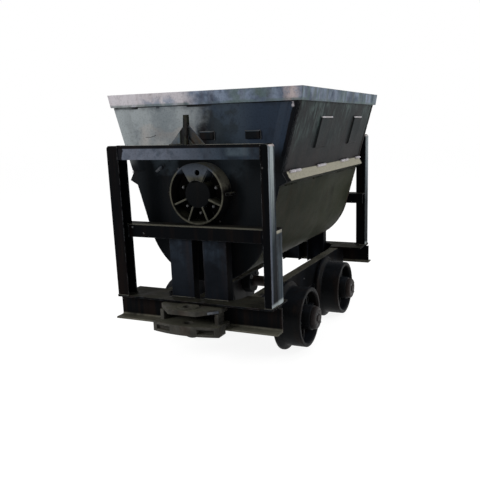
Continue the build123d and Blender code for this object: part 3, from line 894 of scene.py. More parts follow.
def build_dust():
    """Dust that lies on what faces up, thicker towards the ground."""
    tree, source, sink = new_group(
        "dust_fall",
        (("Top", 0.7), ("Flat", 0.35), ("Low", 0.3), ("Height", 0.45), ("Scale", 16.0), ("Bare", 0.22)),
        (mask,),
    )
    place = add_node(tree, "ShaderNodeTexCoord").outputs
    up = parts_of(tree, place["Normal"])["Z"]
    height = parts_of(tree, place["Object"])["Z"]
    cloud = add_noise(tree, place["Object"], source["Scale"], 6.0, Roughness=0.62)
    facing = add_range(tree, up, source["Flat"], plus(tree, source["Flat"], 0.35))
    lying = times(tree, facing, source["Top"])
    low = times(tree, add_range(tree, height, source["Height"], 0.0), source["Low"])
    patches = add_range(tree, cloud, source["Bare"], plus(tree, source["Bare"], 0.38))
    tree.links.new(times(tree, plus(tree, lying, low), patches, clamp=True), sink["Mask"])


def build_inner_face():
    """Mask of the faces that look to the middle of the hopper's load."""
    tree, source, sink = new_group("inner_face", (("Height", 1.0),), (mask,))
    place = add_node(tree, "ShaderNodeTexCoord").outputs
    where = parts_of(tree, place["Object"])
    level = minus(tree, where["Z"], source["Height"])
    spot = add_node(tree, "ShaderNodeCombineXYZ", X=where["X"], Y=where["Y"], Z=level)
    facing = add_dot(tree, place["Normal"], spot.outputs["Vector"])
    tree.links.new(add_range(tree, facing, 0.0, -0.02), sink["Mask"])


def build_blotch():
    """Slow blotches and fine grain for colour, roughness and relief."""
    tree, source, sink = new_group(
        "blotch", (("Scale", 3.0), ("Fine", 120.0), ("Low", 0.38), ("High", 0.64)),
        (mask, ("Grain", "NodeSocketFloat"), ("Streak", "NodeSocketFloat")),
    )
    place = add_node(tree, "ShaderNodeTexCoord").outputs["Object"]
    slow = add_noise(tree, place, source["Scale"], 7.0, Roughness=0.6, Distortion=0.4)
    runs = add_runs(tree, place, (22.0, 22.0, 1.6), 5.0, Roughness=0.6)
    tree.links.new(add_range(tree, slow, source["Low"], source["High"]), sink["Mask"])
    tree.links.new(add_noise(tree, place, source["Fine"], 3.0), sink["Grain"])
    tree.links.new(add_range(tree, runs, 0.45, 0.68), sink["Streak"])


def build_coat_and_painted_light():
    """A coat of paint, chalk, painted shade or painted light, with ragged limits in height, across and
    along, in patches and runs.
    """
    tree, source, sink = new_group(
        "coat_and_painted_light",
        (
            ("From", 0.9), ("To", 1.1), ("Amount", 1.0), ("Middle", 0.0), ("Reach", 9.0), ("Soft", 0.05),
            ("Near", -9.0), ("Nearer", -8.0), ("Mirror", 0.0), ("Ragged", 0.0), ("Patches", 5.0),
            ("Bare", 0.22), ("Full", 0.56), ("Streaks", 0.0), ("Sides", 0.0), ("Ends", 0.0),
            ("Lean", 0.0), ("Turned", 0.0),
        ),
        (mask,),
    )
    place = add_node(tree, "ShaderNodeTexCoord").outputs
    where = parts_of(tree, place["Object"])
    facing = parts_of(tree, place["Normal"])
    cloud = add_noise(tree, place["Object"], source["Patches"], 5.0, Roughness=0.6)
    runs = add_runs(tree, place["Object"], (60.0, 60.0, 1.2), 3.0)
    wobble = times(tree, minus(tree, cloud, 0.5), source["Ragged"])
    sign = minus(tree, add_math(tree, "SIGN", where["X"]), 1.0)
    turned = plus(tree, times(tree, sign, source["Turned"]), 1.0)
    limits = []
    for value in (where["X"], times(tree, where["Y"], turned)):
        extra = minus(tree, add_math(tree, "ABSOLUTE", value), value)
        limits.append(plus(tree, value, times(tree, extra, source["Mirror"])))
    across, along = limits
    across = minus(tree, across, times(tree, where["Z"], source["Lean"]))
    off = add_math(tree, "ABSOLUTE", minus(tree, across, source["Middle"]))
    outer = plus(tree, source["Reach"], source["Soft"])
    made = add_range(tree, plus(tree, where["Z"], wobble), source["From"], source["To"])
    for share in (
        add_range(tree, plus(tree, off, wobble), outer, source["Reach"]),
        add_range(tree, plus(tree, along, wobble), source["Near"], source["Nearer"]),
        add_range(tree, cloud, source["Bare"], source["Full"]),
    ):
        made = times(tree, made, share)
    ahead = add_range(tree, add_math(tree, "ABSOLUTE", facing["X"]), 0.8, 0.3)
    thin = add_range(tree, runs, 0.62, 0.42)
    flank = add_range(tree, add_math(tree, "ABSOLUTE", facing["Y"]), 0.8, 0.4)
    for share, choice in ((ahead, "Sides"), (thin, "Streaks"), (flank, "Ends")):
        made = times(tree, made, minus(tree, 1.0, times(tree, share, source[choice])))
    tree.links.new(times(tree, made, source["Amount"], clamp=True), sink["Mask"])


def place_group(tree, name, **values):
    return add_node(tree, "ShaderNodeGroup", node_tree=bpy.data.node_groups[name], **values).outputs


# Finishes

def coat(tone, start, full, amount, band=(), **choices):
    """A coat that starts at one height, is full at another, and keeps to a (middle, reach, soft) band."""
    choices.update(zip(("Middle", "Reach", "Soft"), band))
    return dict(choices, tone=tone, From=start, To=full, Amount=amount)


def solid(*given, **choices):
    """A coat without bare patches."""
    return coat(*given, Bare=0.0, Full=0.1, **choices)


# Each finish has a paint and a second one in blotches, bleached or sooty coats and coats of painted shade
# and light, what lies on its tops, and its wear, rust, roughness, gloss, relief and size of blotches
finishes = {
    "chassis_enamel": dict(
        paint="frame_black", second="frame_blue", lying="flange_light", top=0.90, low=0.04, wear=0.30,
        rust=0.04, rough=0.36, gloss=0.016, mottle=0.35,
    ),
    "end_beam_enamel": dict(
        paint="frame_black", second="cast_black", lying="flange_dust", top=0.45, low=0.04, wear=0.25,
        rust=0.12, rough=0.40, gloss=0.012, mottle=0.5,
        coats=(
            coat("flange_light", 0.256, 0.248, 0.85, Patches=9.0),
        ),
    ),
    "crossbar_enamel": dict(
        paint="frame_black", second="cast_black", lying="flange_dust", top=0.12, wear=0.20, rust=0.08,
        rough=0.44, gloss=0.008,
        coats=(
            # Pale only at the front of the top face; the back stays black as a painted shadow under the
            # hopper
            coat("flange_light", 0.6856, 0.6862, 0.95, Near=0.706, Nearer=0.716, Mirror=1.0),
        ),
    ),
    "post_enamel": dict(
        paint="frame_black", second="cast_black", lying="knee_dust", top=0.30, wear=0.45, rust=0.08,
        rough=0.40, gloss=0.008,
        coats=(
            # Grey and pale coats on the outer sides: chalky paint and a painted sheen
            coat("post_grey", 0.20, 0.95, 0.8, (0.40, 0.008, 0.001), Sides=1.0, Streaks=0.6, Mirror=1.0),
            coat("post_chalk", 0.58, 0.98, 0.95, (0.40, 0.008, 0.001), Sides=1.0, Streaks=0.7, Near=0.722,
                 Nearer=0.732, Mirror=1.0, Bare=0.15, Full=0.35),
            coat("beam_chalk", 0.0, 0.1, 0.8, (0.40, 0.008, 0.001), Sides=1.0, Streaks=0.5, Near=0.757,
                 Nearer=0.772, Mirror=1.0),
            coat("post_chalk", 0.378, 0.362, 0.8, (0.40, 0.008), Sides=1.0, Mirror=1.0),
            coat("rim_pink", 1.030, 1.038, 0.8, (0.40, 0.008, 0.006), Mirror=1.0, Near=0.772, Nearer=0.764),
        ),
    ),
    "inner_post_enamel": dict(
        paint="frame_black", second="frame_blue", lying="knee_dust", top=0.9, flat=0.2, wear=0.50, rust=0.10,
        cover=0.0, rough=0.36, gloss=0.016,
        coats=(
            # Grey on the outer sides: weathering and a painted sheen
            coat("post_grey", 0.0, 0.1, 0.85, (0.40, 0.008), Sides=1.0, Streaks=0.8, Mirror=1.0),
            coat("knee_dust", 0.664, 0.672, 0.9, Patches=30.0),
            coat("post_chalk", 0.380, 0.365, 0.9, (0.40, 0.012), Mirror=1.0),
        ),
    ),
    "top_beam_enamel": dict(
        paint="frame_blue", second="beam_grey", lying="knee_dust", top=0.55, wear=0.10, rust=0.08, cover=0.0,
        rough=0.44, gloss=0.010,
        coats=(
            coat("beam_grey", 0.90, 0.96, 0.80, Patches=11.0, Bare=0.38, Full=0.62),
            # Darker right end and pale left end: a painted reflection across the front, over bleached paint
            coat("frame_blue", 0.90, 0.96, 0.55, (0.33, 0.09, 0.10), Patches=14.0),
            coat("beam_chalk", 0.90, 0.96, 0.95, (-0.50, 0.32, 0.42), Ragged=0.25, Patches=14.0),
            coat("post_grey", 0.990, 1.005, 0.7, (0.26, 0.03, 0.04), Patches=20.0),
            # Painted shadow: black top band on the front, under the top flange
            solid("frame_black", 1.029, 1.033, 0.97, Ends=1.0),
            coat("frame_black", 0.0, 0.1, 0.95, (-0.345, 0.031, 0.004), Ragged=0.03, Patches=40.0, Bare=0.0,
                 Full=0.2),
        ),
    ),
    "bracket_enamel": dict(
        paint="post_grey", second="flange_light", lying="beam_chalk", top=0.3, wear=0.20, rust=0.30,
        rough=0.44, gloss=0.03, scale=22.0, mottle=1.0,
        coats=(
            coat("end_chalk", 1.03, 1.10, 0.5, (-0.09, 0.03, 0.04), Patches=30.0),
            solid("trough_green", 0.0, 0.1, 1.0, (0.0, 0.021, 0.002)),
            coat("frame_black", 1.13, 1.10, 0.9, (-0.004, 0.012, 0.004), Patches=30.0),
            coat("end_black", 0.0, 0.1, 0.7, (1.060, 0.024, 0.006), Lean=-0.9375, Bare=0.0, Full=0.3),
            solid("frame_black", 0.0, 0.1, 0.95, (1.031, 0.004, 0.003), Lean=-0.9375),
        ),
    ),
    "pedestal_enamel": dict(
        paint="frame_blue", second="frame_black", lying="flange_dust", top=0.6, wear=0.15, rust=0.10,
        rough=0.44, gloss=0.016, scale=3.5,
        coats=(
            coat("beam_grey", 0.42, 0.64, 0.45, Patches=16.0, Bare=0.42, Full=0.66, Streaks=0.4),
            # Painted shade: black on the faces that look sideways into the gap
            solid("frame_black", 0.0, 0.1, 0.95, Sides=1.0),
            solid("frame_black", 0.622, 0.630, 0.95),
        ),
    ),
    "hopper_end_enamel": dict(
        paint="end_black", second="frame_black", lying="flange_dust", top=0.3, wear=0.20, rust=0.05,
        rough=0.40, gloss=0.025, relief=0.12, scale=2.6, inside=1.0,
        coats=(
            # Painted sheen, lighter towards the top
            coat("end_blue", 0.965, 1.06, 1.0, Patches=7.0, Bare=0.20, Full=0.50),
            coat("frame_black", 1.190, 1.135, 0.90, (0.060, 0.05, 0.07), Ragged=0.3, Patches=12.0, Bare=0.0,
                 Full=0.2),
            solid("frame_black", 0.0, 0.1, 0.95, (0.150, 0.040, 0.004), Lean=0.28, Ragged=0.01,
                  Patches=40.0),
            solid("rim_chalk", 1.186, 1.194, 0.9, (0.443, 0.001, 0.007), Ragged=0.02, Patches=60.0),
            # Chalky paint and a painted reflection, high on the left
            coat("end_chalk", 0.985, 1.02, 1.0, (-0.40, 0.305, 0.13), Ragged=0.28, Patches=9.0, Bare=0.10,
                 Full=0.48),
            coat("chalk_beige", 1.135, 1.085, 0.75, (-0.20, 0.08, 0.09), Ragged=0.35, Patches=8.0),
            # Painted shadow under the rim: a soft dark smear and black lines just below it
            coat("end_black", 1.192, 1.212, 0.40, Ragged=0.06, Patches=16.0),
            solid("frame_black", 1.209, 1.212, 0.85),
            solid("frame_black", 1.203, 1.206, 0.95, (-0.40, 0.066, 0.004)),
            solid("frame_black", 1.203, 1.207, 0.95, (-0.008, 0.058, 0.010)),
            solid("frame_black", 1.203, 1.206, 0.90, (-0.224, 0.006, 0.006)),
            # Plain black below the top beam, where the painted sheen stops
            solid("end_black", 0.992, 0.972, 1.0),
            coat("post_grey", 0.88, 0.95, 0.35, (0.13, 0.04, 0.10), Ragged=0.2, Patches=9.0),
            coat("post_grey", 0.90, 0.95, 0.45, (-0.20, 0.04, 0.06), Ragged=0.2, Patches=12.0),
            coat("end_chalk", 0.93, 0.985, 0.45, (-0.46, 0.06, 0.06)),
        ),
    ),
    # Pale tops of the pads: dust and a painted highlight
    "pad_enamel": dict(
        paint="end_black", second="frame_black", lying="post_grey", top=0.6, flat=0.2, wear=0.10, rust=0.10,
        rough=0.44, gloss=0.016, relief=0.12, scale=9.0, cover=0.1,
    ),
    "hopper_side_enamel": dict(
        paint="side_brown", second="side_green", lying="flange_dust", top=0.1, wear=0.10, rust=0.05,
        rough=0.46, gloss=0.026, relief=0.12, scale=3.4, inside=1.0,
        coats=(
            coat("side_green", 0.93, 1.12, 0.9, Patches=7.0, Bare=0.28, Full=0.58),
            coat("rain_light", 0.92, 1.26, 0.75, Streaks=1.0, Bare=0.34, Full=0.66, Patches=4.0),
            solid("frame_black", 0.0, 0.1, 0.96, Near=-0.562, Nearer=-0.576, Ragged=0.10, Patches=22.0,
                  Turned=1.0),
        ),
    ),
    "stiffener_enamel": dict(
        paint="side_brown", second="side_green", lying="rain_light", top=0.4, wear=0.10, rust=0.05,
        rough=0.46, gloss=0.026, relief=0.12, scale=3.4,
        coats=(
            coat("side_green", 0.93, 1.12, 0.9, Patches=7.0, Bare=0.28, Full=0.58),
            # Painted shade on the stiffeners' faces that look along the cart
            coat("shadow_soot", 0.0, 0.1, 1.0, Ends=1.0),
        ),
    ),
    "trough_enamel": dict(
        paint="trough_olive", second="trough_green", lying="flange_dust", top=0.2, wear=0.2, rust=0.10,
        rough=0.46, gloss=0.016, relief=0.10, scale=3.0, inside=1.0,
        coats=(
            coat("trough_dust", 0.0, 0.1, 0.9, Near=-0.50, Nearer=0.35, Patches=6.0),
            coat("trough_green", 0.81, 0.87, 0.85, Bare=0.1, Full=0.4),
        ),
    ),
    "knee_enamel": dict(
        paint="trough_olive", second="trough_green", lying="knee_dust", top=1.0, flat=0.0, wear=0.2,
        rust=0.04, rough=0.45, gloss=0.04, relief=0.14, scale=6.0, cover=0.0, end_black=0.550,
    ),
    "rim_enamel": dict(
        paint="rim_blue", second="rim_navy", lying="rim_chalk", top=0.25, wear=0.35, rust=0.22, rough=0.44,
        gloss=0.06, relief=0.14, scale=8.0, mottle=1.0,
        coats=(
            coat("rim_navy", 1.1, 1.2, 0.50, Patches=17.0, Bare=0.52, Full=0.66),
            coat("rain_light", 1.1, 1.2, 0.8, (0.24, 0.04, 0.12), Patches=13.0, Bare=0.45, Full=0.60,
                 Ends=1.0),
            # Chalky paint and a painted reflection at the left end
            coat("rim_chalk", 1.10, 1.20, 1.0, (-0.36, 0.27, 0.06), Ragged=0.30, Patches=9.0, Bare=0.26,
                 Full=0.52),
            coat("rim_blue", 1.262, 1.235, 0.8, (-0.21, 0.06, 0.06), Ragged=0.10, Patches=22.0, Bare=0.35,
                 Full=0.55),
            coat("rim_pink", 1.1, 1.2, 0.9, (0.438, 0.012, 0.035), Ragged=0.12, Ends=1.0, Patches=24.0,
                 Bare=0.30, Full=0.56),
            coat("rain_light", 1.0, 1.1, 0.85, Sides=1.0, Streaks=1.0, Bare=0.3, Full=0.6),
            coat("rain_light", 1.229, 1.221, 0.7, Patches=9.0, Bare=0.35, Full=0.55),
        ),
    ),
    "roll_ring_iron": dict(
        paint="cast_black", second="frame_black", lying="flange_dust", top=0.9, wear=0.55, rust=0.06,
        rough=0.46, gloss=0.018, relief=0.45, scale=9.0,
        coats=(
            # Olive bloom and a painted highlight on the front faces
            coat("cast_olive", 0.0, 0.1, 0.9, Ends=1.0, Near=0.680, Nearer=0.682, Mirror=1.0, Patches=18.0,
                 Bare=0.20, Full=0.60),
            coat("cast_grey", 0.89, 0.92, 0.9, (0.0, 0.085, 0.015), Bare=0.1, Full=0.5),
            coat("flange_light", 0.84, 0.87, 0.6, (0.115, 0.02, 0.02), Ragged=0.08, Patches=20.0),
        ),
    ),
    "wheel_iron": dict(
        paint="cast_black", second="frame_black", lying="frame_blue", top=0.5, low=0.10, wear=0.35,
        rust=0.10, rough=0.40, gloss=0.05, relief=0.40, scale=8.0,
    ),
    "cap_iron": dict(
        paint="cap_brown", second="cast_black", lying="cap_brown", top=0.3, wear=0.3, rust=0.12, rough=0.42,
        gloss=0.08, relief=0.30, scale=14.0,
    ),
    "bumper_iron": dict(
        paint="bumper_olive", second="cast_black", lying="flange_dust", top=0.7, low=0.10, wear=0.4,
        rust=0.20, rough=0.58, gloss=0.05, relief=0.55, scale=9.0,
    ),
    "axle_bar_steel": dict(
        paint="cap_brown", second="cast_black", lying="flange_dust", top=0.2, wear=0.4, rust=0.35,
        rough=0.42, gloss=0.15, relief=0.15, scale=12.0,
    ),
    # Pale weld beads, partly a painted highlight on the pads' lit edges
    "weld_and_highlight_metal": dict(
        paint="weld_grey", second="cast_black", lying="flange_dust", top=0.3, wear=0.4, rust=0.20,
        rough=0.46, gloss=0.06, relief=0.30, scale=20.0,
    ),
    "stitch_metal": dict(
        paint="weld_white", second="knee_dust", lying="weld_white", top=0.5, wear=0.2, rust=0.06, rough=0.5,
        gloss=0.10, relief=0.30, scale=30.0,
    ),
    # Rubbed steel, also the pale bar that is a painted highlight on the bumpers
    "rubbed_steel_and_glint": dict(
        paint="cast_grey", second="bare_steel", lying="cast_grey", top=0.4, wear=0.3, rust=0.20, rough=0.40,
        gloss=0.12, relief=0.20, scale=24.0, mottle=0.8,
    ),
    "bolt_steel": dict(
        paint="weld_grey", second="cast_black", lying="flange_dust", top=0.4, wear=0.6, rust=0.25,
        rough=0.45, gloss=0.10, relief=0.20, scale=20.0,
    ),
}


def tone_of(name):
    """A colour that the user can change."""
    return tuple(getattr(bpy.context.scene.cart_colours, name))


def lay(tree, base, row):
    """Lay a coat over a colour."""
    limits = {name: value for name, value in row.items() if name != "tone"}
    return mix_colour(tree, place_group(tree, "coat_and_painted_light", **limits)["Mask"], base, tone_of(row["tone"]))


def build_finish(
    name, paint, second, lying, top, wear, rust, rough, gloss, coats=(), flat=0.45, low=0.0, relief=0.12,
    scale=5.0, mottle=0.6, inside=0.0, cover=0.22, end_black=0.0, speckle=0.20,
):
    """One painted or cast finish: blotched and bleached colour, coats with painted shade and light, worn
    edges, rust runs and dust.
    """
    material = bpy.data.materials.new(name)
    material.use_nodes = True
    tree = material.node_tree
    shader = tree.nodes["Principled BSDF"].inputs
    blotch = place_group(tree, "blotch", Scale=scale)
    edge = place_group(tree, "edge_wear", Radius=bpy.context.scene.cart_sizes.edge_round, Amount=wear)
    dust = place_group(tree, "dust_fall", Top=top, Flat=flat, Low=low, Bare=cover)
    base = mix_colour(tree, times(tree, blotch["Mask"], mottle), tone_of(paint), tone_of(second))
    for row in coats:
        base = lay(tree, base, row)
    base = mix_colour(tree, times(tree, blotch["Streak"], rust, clamp=True), base, tone_of("rust"))
    base = mix_colour(tree, edge["Mask"], base, tone_of("bare_steel"))
    base = mix_colour(tree, dust["Mask"], base, tone_of(lying))
    if end_black > 0.0:
        base = lay(tree, base, solid(
            "frame_black", 0.0, 0.1, 1.0, Near=-end_black, Nearer=-end_black - 0.006, Turned=1.0,
            Ragged=0.04, Patches=40.0,
        ))
    specks = times(tree, add_range(tree, blotch["Grain"], 0.52, 0.30), speckle)
    base = mix_colour(tree, specks, base, tone_of("frame_black"))
    if inside > 0.0:
        scaled = mix_colour(tree, blotch["Mask"], tone_of("ore_scale"), tone_of("rust"))
        face = place_group(tree, "inner_face")
        base = mix_colour(tree, times(tree, face["Mask"], inside), base, scaled)
    spread = times(tree, minus(tree, blotch["Grain"], 0.5), 0.30)
    rubbed = plus(tree, plus(tree, spread, rough), times(tree, blotch["Mask"], 0.12))
    dull = plus(tree, rubbed, times(tree, dust["Mask"], 0.4), clamp=True)
    height = plus(tree, times(tree, blotch["Mask"], 0.4), blotch["Grain"])
    bump = add_node(
        tree, "ShaderNodeBump", Height=height, Strength=relief, Distance=0.002, Normal=edge["Normal"]
    )
    feed(tree, shader["Base Color"], base)
    feed(tree, shader["Roughness"], dull)
    feed(tree, shader["Metallic"], times(tree, edge["Mask"], 0.4))
    feed(tree, shader["Specular IOR Level"], gloss)
    feed(tree, shader["Normal"], bump.outputs["Normal"])


def paint_nodes(names, finish):
    """Put a finish on CAD nodes."""
    for name in names:
        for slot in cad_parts[name].material_slots:
            slot.material = bpy.data.materials[finish]


def both(*stems):
    """The front and rear node of each stem."""
    return [stem + end for stem in stems for end in ("_f", "_r")]


class CART_OT_finishes(bpy.types.Operator):
    """Build the paint, casting and steel finishes"""

    bl_idname = "cart.finishes"
    bl_label = "Build finishes"

    def execute(self, context):
        build_edge_wear()
        build_dust()
        build_blotch()
        build_coat_and_painted_light()
        build_inner_face()
        for name, row in finishes.items():
            build_finish(name, **row)
        return {"FINISHED"}


class CART_OT_chassis(bpy.types.Operator):
    """Paint the rolled sections of the chassis"""

    bl_idname = "cart.chassis"
    bl_label = "Paint chassis"

    def execute(self, context):
        paint_nodes(["long_beam_l", "long_beam_r", "axle_seats"], "chassis_enamel")
        paint_nodes(both("end_beam") + ["corner_gussets"], "end_beam_enamel")
        paint_nodes(both("crossbar"), "crossbar_enamel")
        paint_nodes(both("portal_posts"), "post_enamel")
        paint_nodes(both("inner_post"), "inner_post_enamel")
        paint_nodes(both("top_beam"), "top_beam_enamel")
        paint_nodes(["top_brackets"], "bracket_enamel")
        paint_nodes(both("pedestal"), "pedestal_enamel")
        return {"FINISHED"}


class CART_OT_hopper(bpy.types.Operator):
    """Roll the trough sheet and paint the sheets, angles and stiffeners of the hopper"""

    bl_idname = "cart.hopper"
    bl_label = "Build hopper"

    def execute(self, context):
        paint_nodes(both("end_plate"), "hopper_end_enamel")
        rounded_copy("corner_strips", "hopper", 0.003, "hopper_end_enamel")
        self.fill_strips()
        paint_nodes(["end_pads"], "pad_enamel")
        paint_nodes(["side_sheet_l", "side_sheet_r"], "hopper_side_enamel")
        paint_nodes(["side_stiffeners"], "stiffener_enamel")
        paint_nodes(["knee_angle_l", "knee_angle_r"], "knee_enamel")
        paint_nodes(["rim_side_l", "rim_side_r"] + both("rim_end"), "rim_enamel")
        self.roll_trough()
        return {"FINISHED"}

    def fill_strips(self):
        """Filler smoothed from each corner strip's inner edge down to the end plate."""
        wall = hopper_wall()
        low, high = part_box("corner_strips")
        plate_y = -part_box("end_plate_f")[0].y
        bm = bmesh.new()
        for end in (-1, 1):
            for side in (-1, 1):
                rows = []
                for z in (low.z + filler_short, high.z - filler_short):
                    edge = wall.point(wall.up_to(z), 0, 0.0, 1).x
                    rows.append([
                        bm.verts.new((side * (edge - back), end * (plate_y + out), z))
                        for back, out in filler_section
                    ])
                bridge(bm, rows[0], rows[1])
                bm.faces.new(rows[0])
                bm.faces.new(rows[1][::-1])
        add_piece("strip_filler", bm, "hopper", "hopper_end_enamel", smooth=40.0)

    def roll_trough(self):
        """The sheet from knee to knee, with the shallow dents that ore leaves."""
        wall = hopper_wall()
        low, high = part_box("hopper_trough")
        halves = []
        for deep in (0.0, sheet_t):
            edge = wall.knee_x - deep / math.cos(wall.lean)
            arc = wall.arc(wall.radius - deep, rolling.arc_steps)
            halves.append([Vector((edge, wall.knee_z)), *arc, Vector((-edge, wall.knee_z))])
        outer, inner = halves
        outline = outer + inner[::-1]
        bm = bmesh.new()
        rows = []
        for step in range(rolling.lengths + 1):
            y = low.y + (high.y - low.y) * step / rolling.lengths
            fade = min(1.0, min(step, rolling.lengths - step) / rolling.fade_ends)
            row = []
            for index, point in enumerate(outline):
                mirrored = index if index < len(outer) else len(outline) - 1 - index
                base = outer[mirrored]
                edge = min(1.0, min(mirrored, len(outer) - 1 - mirrored) / rolling.fade_edges)
                rough = noise.noise(Vector((base.x, y, base.y)) * rolling.dents)
                dent = rolling.dent * max(0.0, rough) * fade * edge
                inward = (wall.centre - base).normalized()
                place = point + inward * dent
                row.append(bm.verts.new((place.x, y, place.y)))
            rows.append(row)
        for first, second in zip(rows, rows[1:]):
            bridge(bm, first, second)
        count = len(outline)
        for row in (rows[0], rows[-1]):
            for index in range(len(outer) - 1):
                bm.faces.new((row[index], row[index + 1], row[count - 2 - index], row[count - 1 - index]))
        trough = add_piece("trough_sheet", bm, "hopper", "trough_enamel", smooth=40.0)
        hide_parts("hopper_trough")


class CART_OT_running_gear(bpy.types.Operator):
    """Turn the wheels and hub caps, and paint the axles"""

    bl_idname = "cart.running_gear"
    bl_label = "Turn wheels"

    def execute(self, context):
        steps = context.scene.cart_sizes.turn_steps
        for end, turn in wheel.turns:
            self.cast_wheels(end, math.radians(turn), steps)
            self.turn_caps(end, steps)
        paint_nodes(both("axle"), "axle_bar_steel")
        return {"FINISHED"}

    def cast_wheels(self, end, turn, steps):
        """Two flanged wheels with a deep dish, six ribs and one bored boss each."""
        low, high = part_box("wheels_" + end)
        flange = (high.z - low.z) / 2
        hub_front = high.x
        face = hub_front - wheel.hub_out
        back = wheel.back
        tread = flange - wheel.flange_h
        rim_in = tread - wheel.rim_t
        web_front = back + wheel.web_t
        centre = centre_of(low, high)
        outline = rounded((
            (back, wheel.axle_r, 0.0),
            (back, flange, 0.006),
            (back + wheel.lip, flange, 0.009),
            (back + wheel.flange_w, tread, 0.008),
            (face, tread, 0.005),
            (face, rim_in + 0.004, 0.003),
            (face - 0.012, rim_in, 0.006),
            (web_front, rim_in, 0.014),
            (web_front, wheel.hub_r, 0.014),
            (hub_front, wheel.hub_r, 0.005),
            (hub_front, wheel.axle_r, 0.0),
        ))
        bm = bmesh.new()
        depth = face - wheel.rib_in - web_front
        middle = (wheel.hub_r + rim_in) / 2
        for side in (1, -1):
            turn_outline(bm, outline, centre, along_x, side, steps)
            for index in range(wheel.ribs):
                angle = turn + 2 * math.pi * (index + 0.5) / wheel.ribs
                out = Vector((0, side * math.cos(angle), math.sin(angle)))
                place = centre + out * middle + along_x * side * (web_front + depth / 2 - bite)
                size = (depth + 2 * bite, rim_in - wheel.hub_r + 4 * bite, wheel.rib_t)
                around = Matrix.Rotation(side * angle, 4, "X")
                add_block(bm, place, size, around, 0.0035)
            out = Vector((0, side * math.cos(turn), math.sin(turn)))
            boss = centre + out * wheel.hole_pos
            boss_outline = rounded((
                (web_front - 0.003, wheel.hole_r, 0.0),
                (web_front - 0.003, wheel.hole_r + wheel.boss_wall, 0.0),
                (web_front + wheel.boss_t, wheel.hole_r + wheel.boss_wall, 0.003),
                (web_front + wheel.boss_t, wheel.hole_r, 0.002),
            ), 3)
            turn_outline(bm, boss_outline, boss, along_x, side, 32)
        wheels = add_piece("turned_wheels_" + end, bm, "wheelset_" + end, "wheel_iron")
        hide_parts("wheels_" + end)

    def turn_caps(self, end, steps):
        """Hub caps with a rounded shoulder, a groove and a middle plug."""
        low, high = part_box("hub_caps_" + end)
        radius = (high.z - low.z) / 2
        centre = centre_of(low, high)
        start = high.x - wheel.cap_len
        outline = rounded((
            (start, 0.0, 0.0),
            (start, radius, 0.002),
            (high.x - 0.004, radius, 0.010),
            (high.x - 0.004, 0.026, 0.0),
            (high.x - 0.007, 0.024, 0.0),
            (high.x - 0.007, 0.018, 0.0),
            (high.x, 0.016, 0.003),
            (high.x, 0.0, 0.0),
        ))
        bm = bmesh.new()
        for side in (1, -1):
            turn_outline(bm, outline, centre, along_x, side, steps)
        close_poles(bm)
        caps = add_piece("turned_caps_" + end, bm, "wheelset_" + end, "cap_iron")
        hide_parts("hub_caps_" + end)


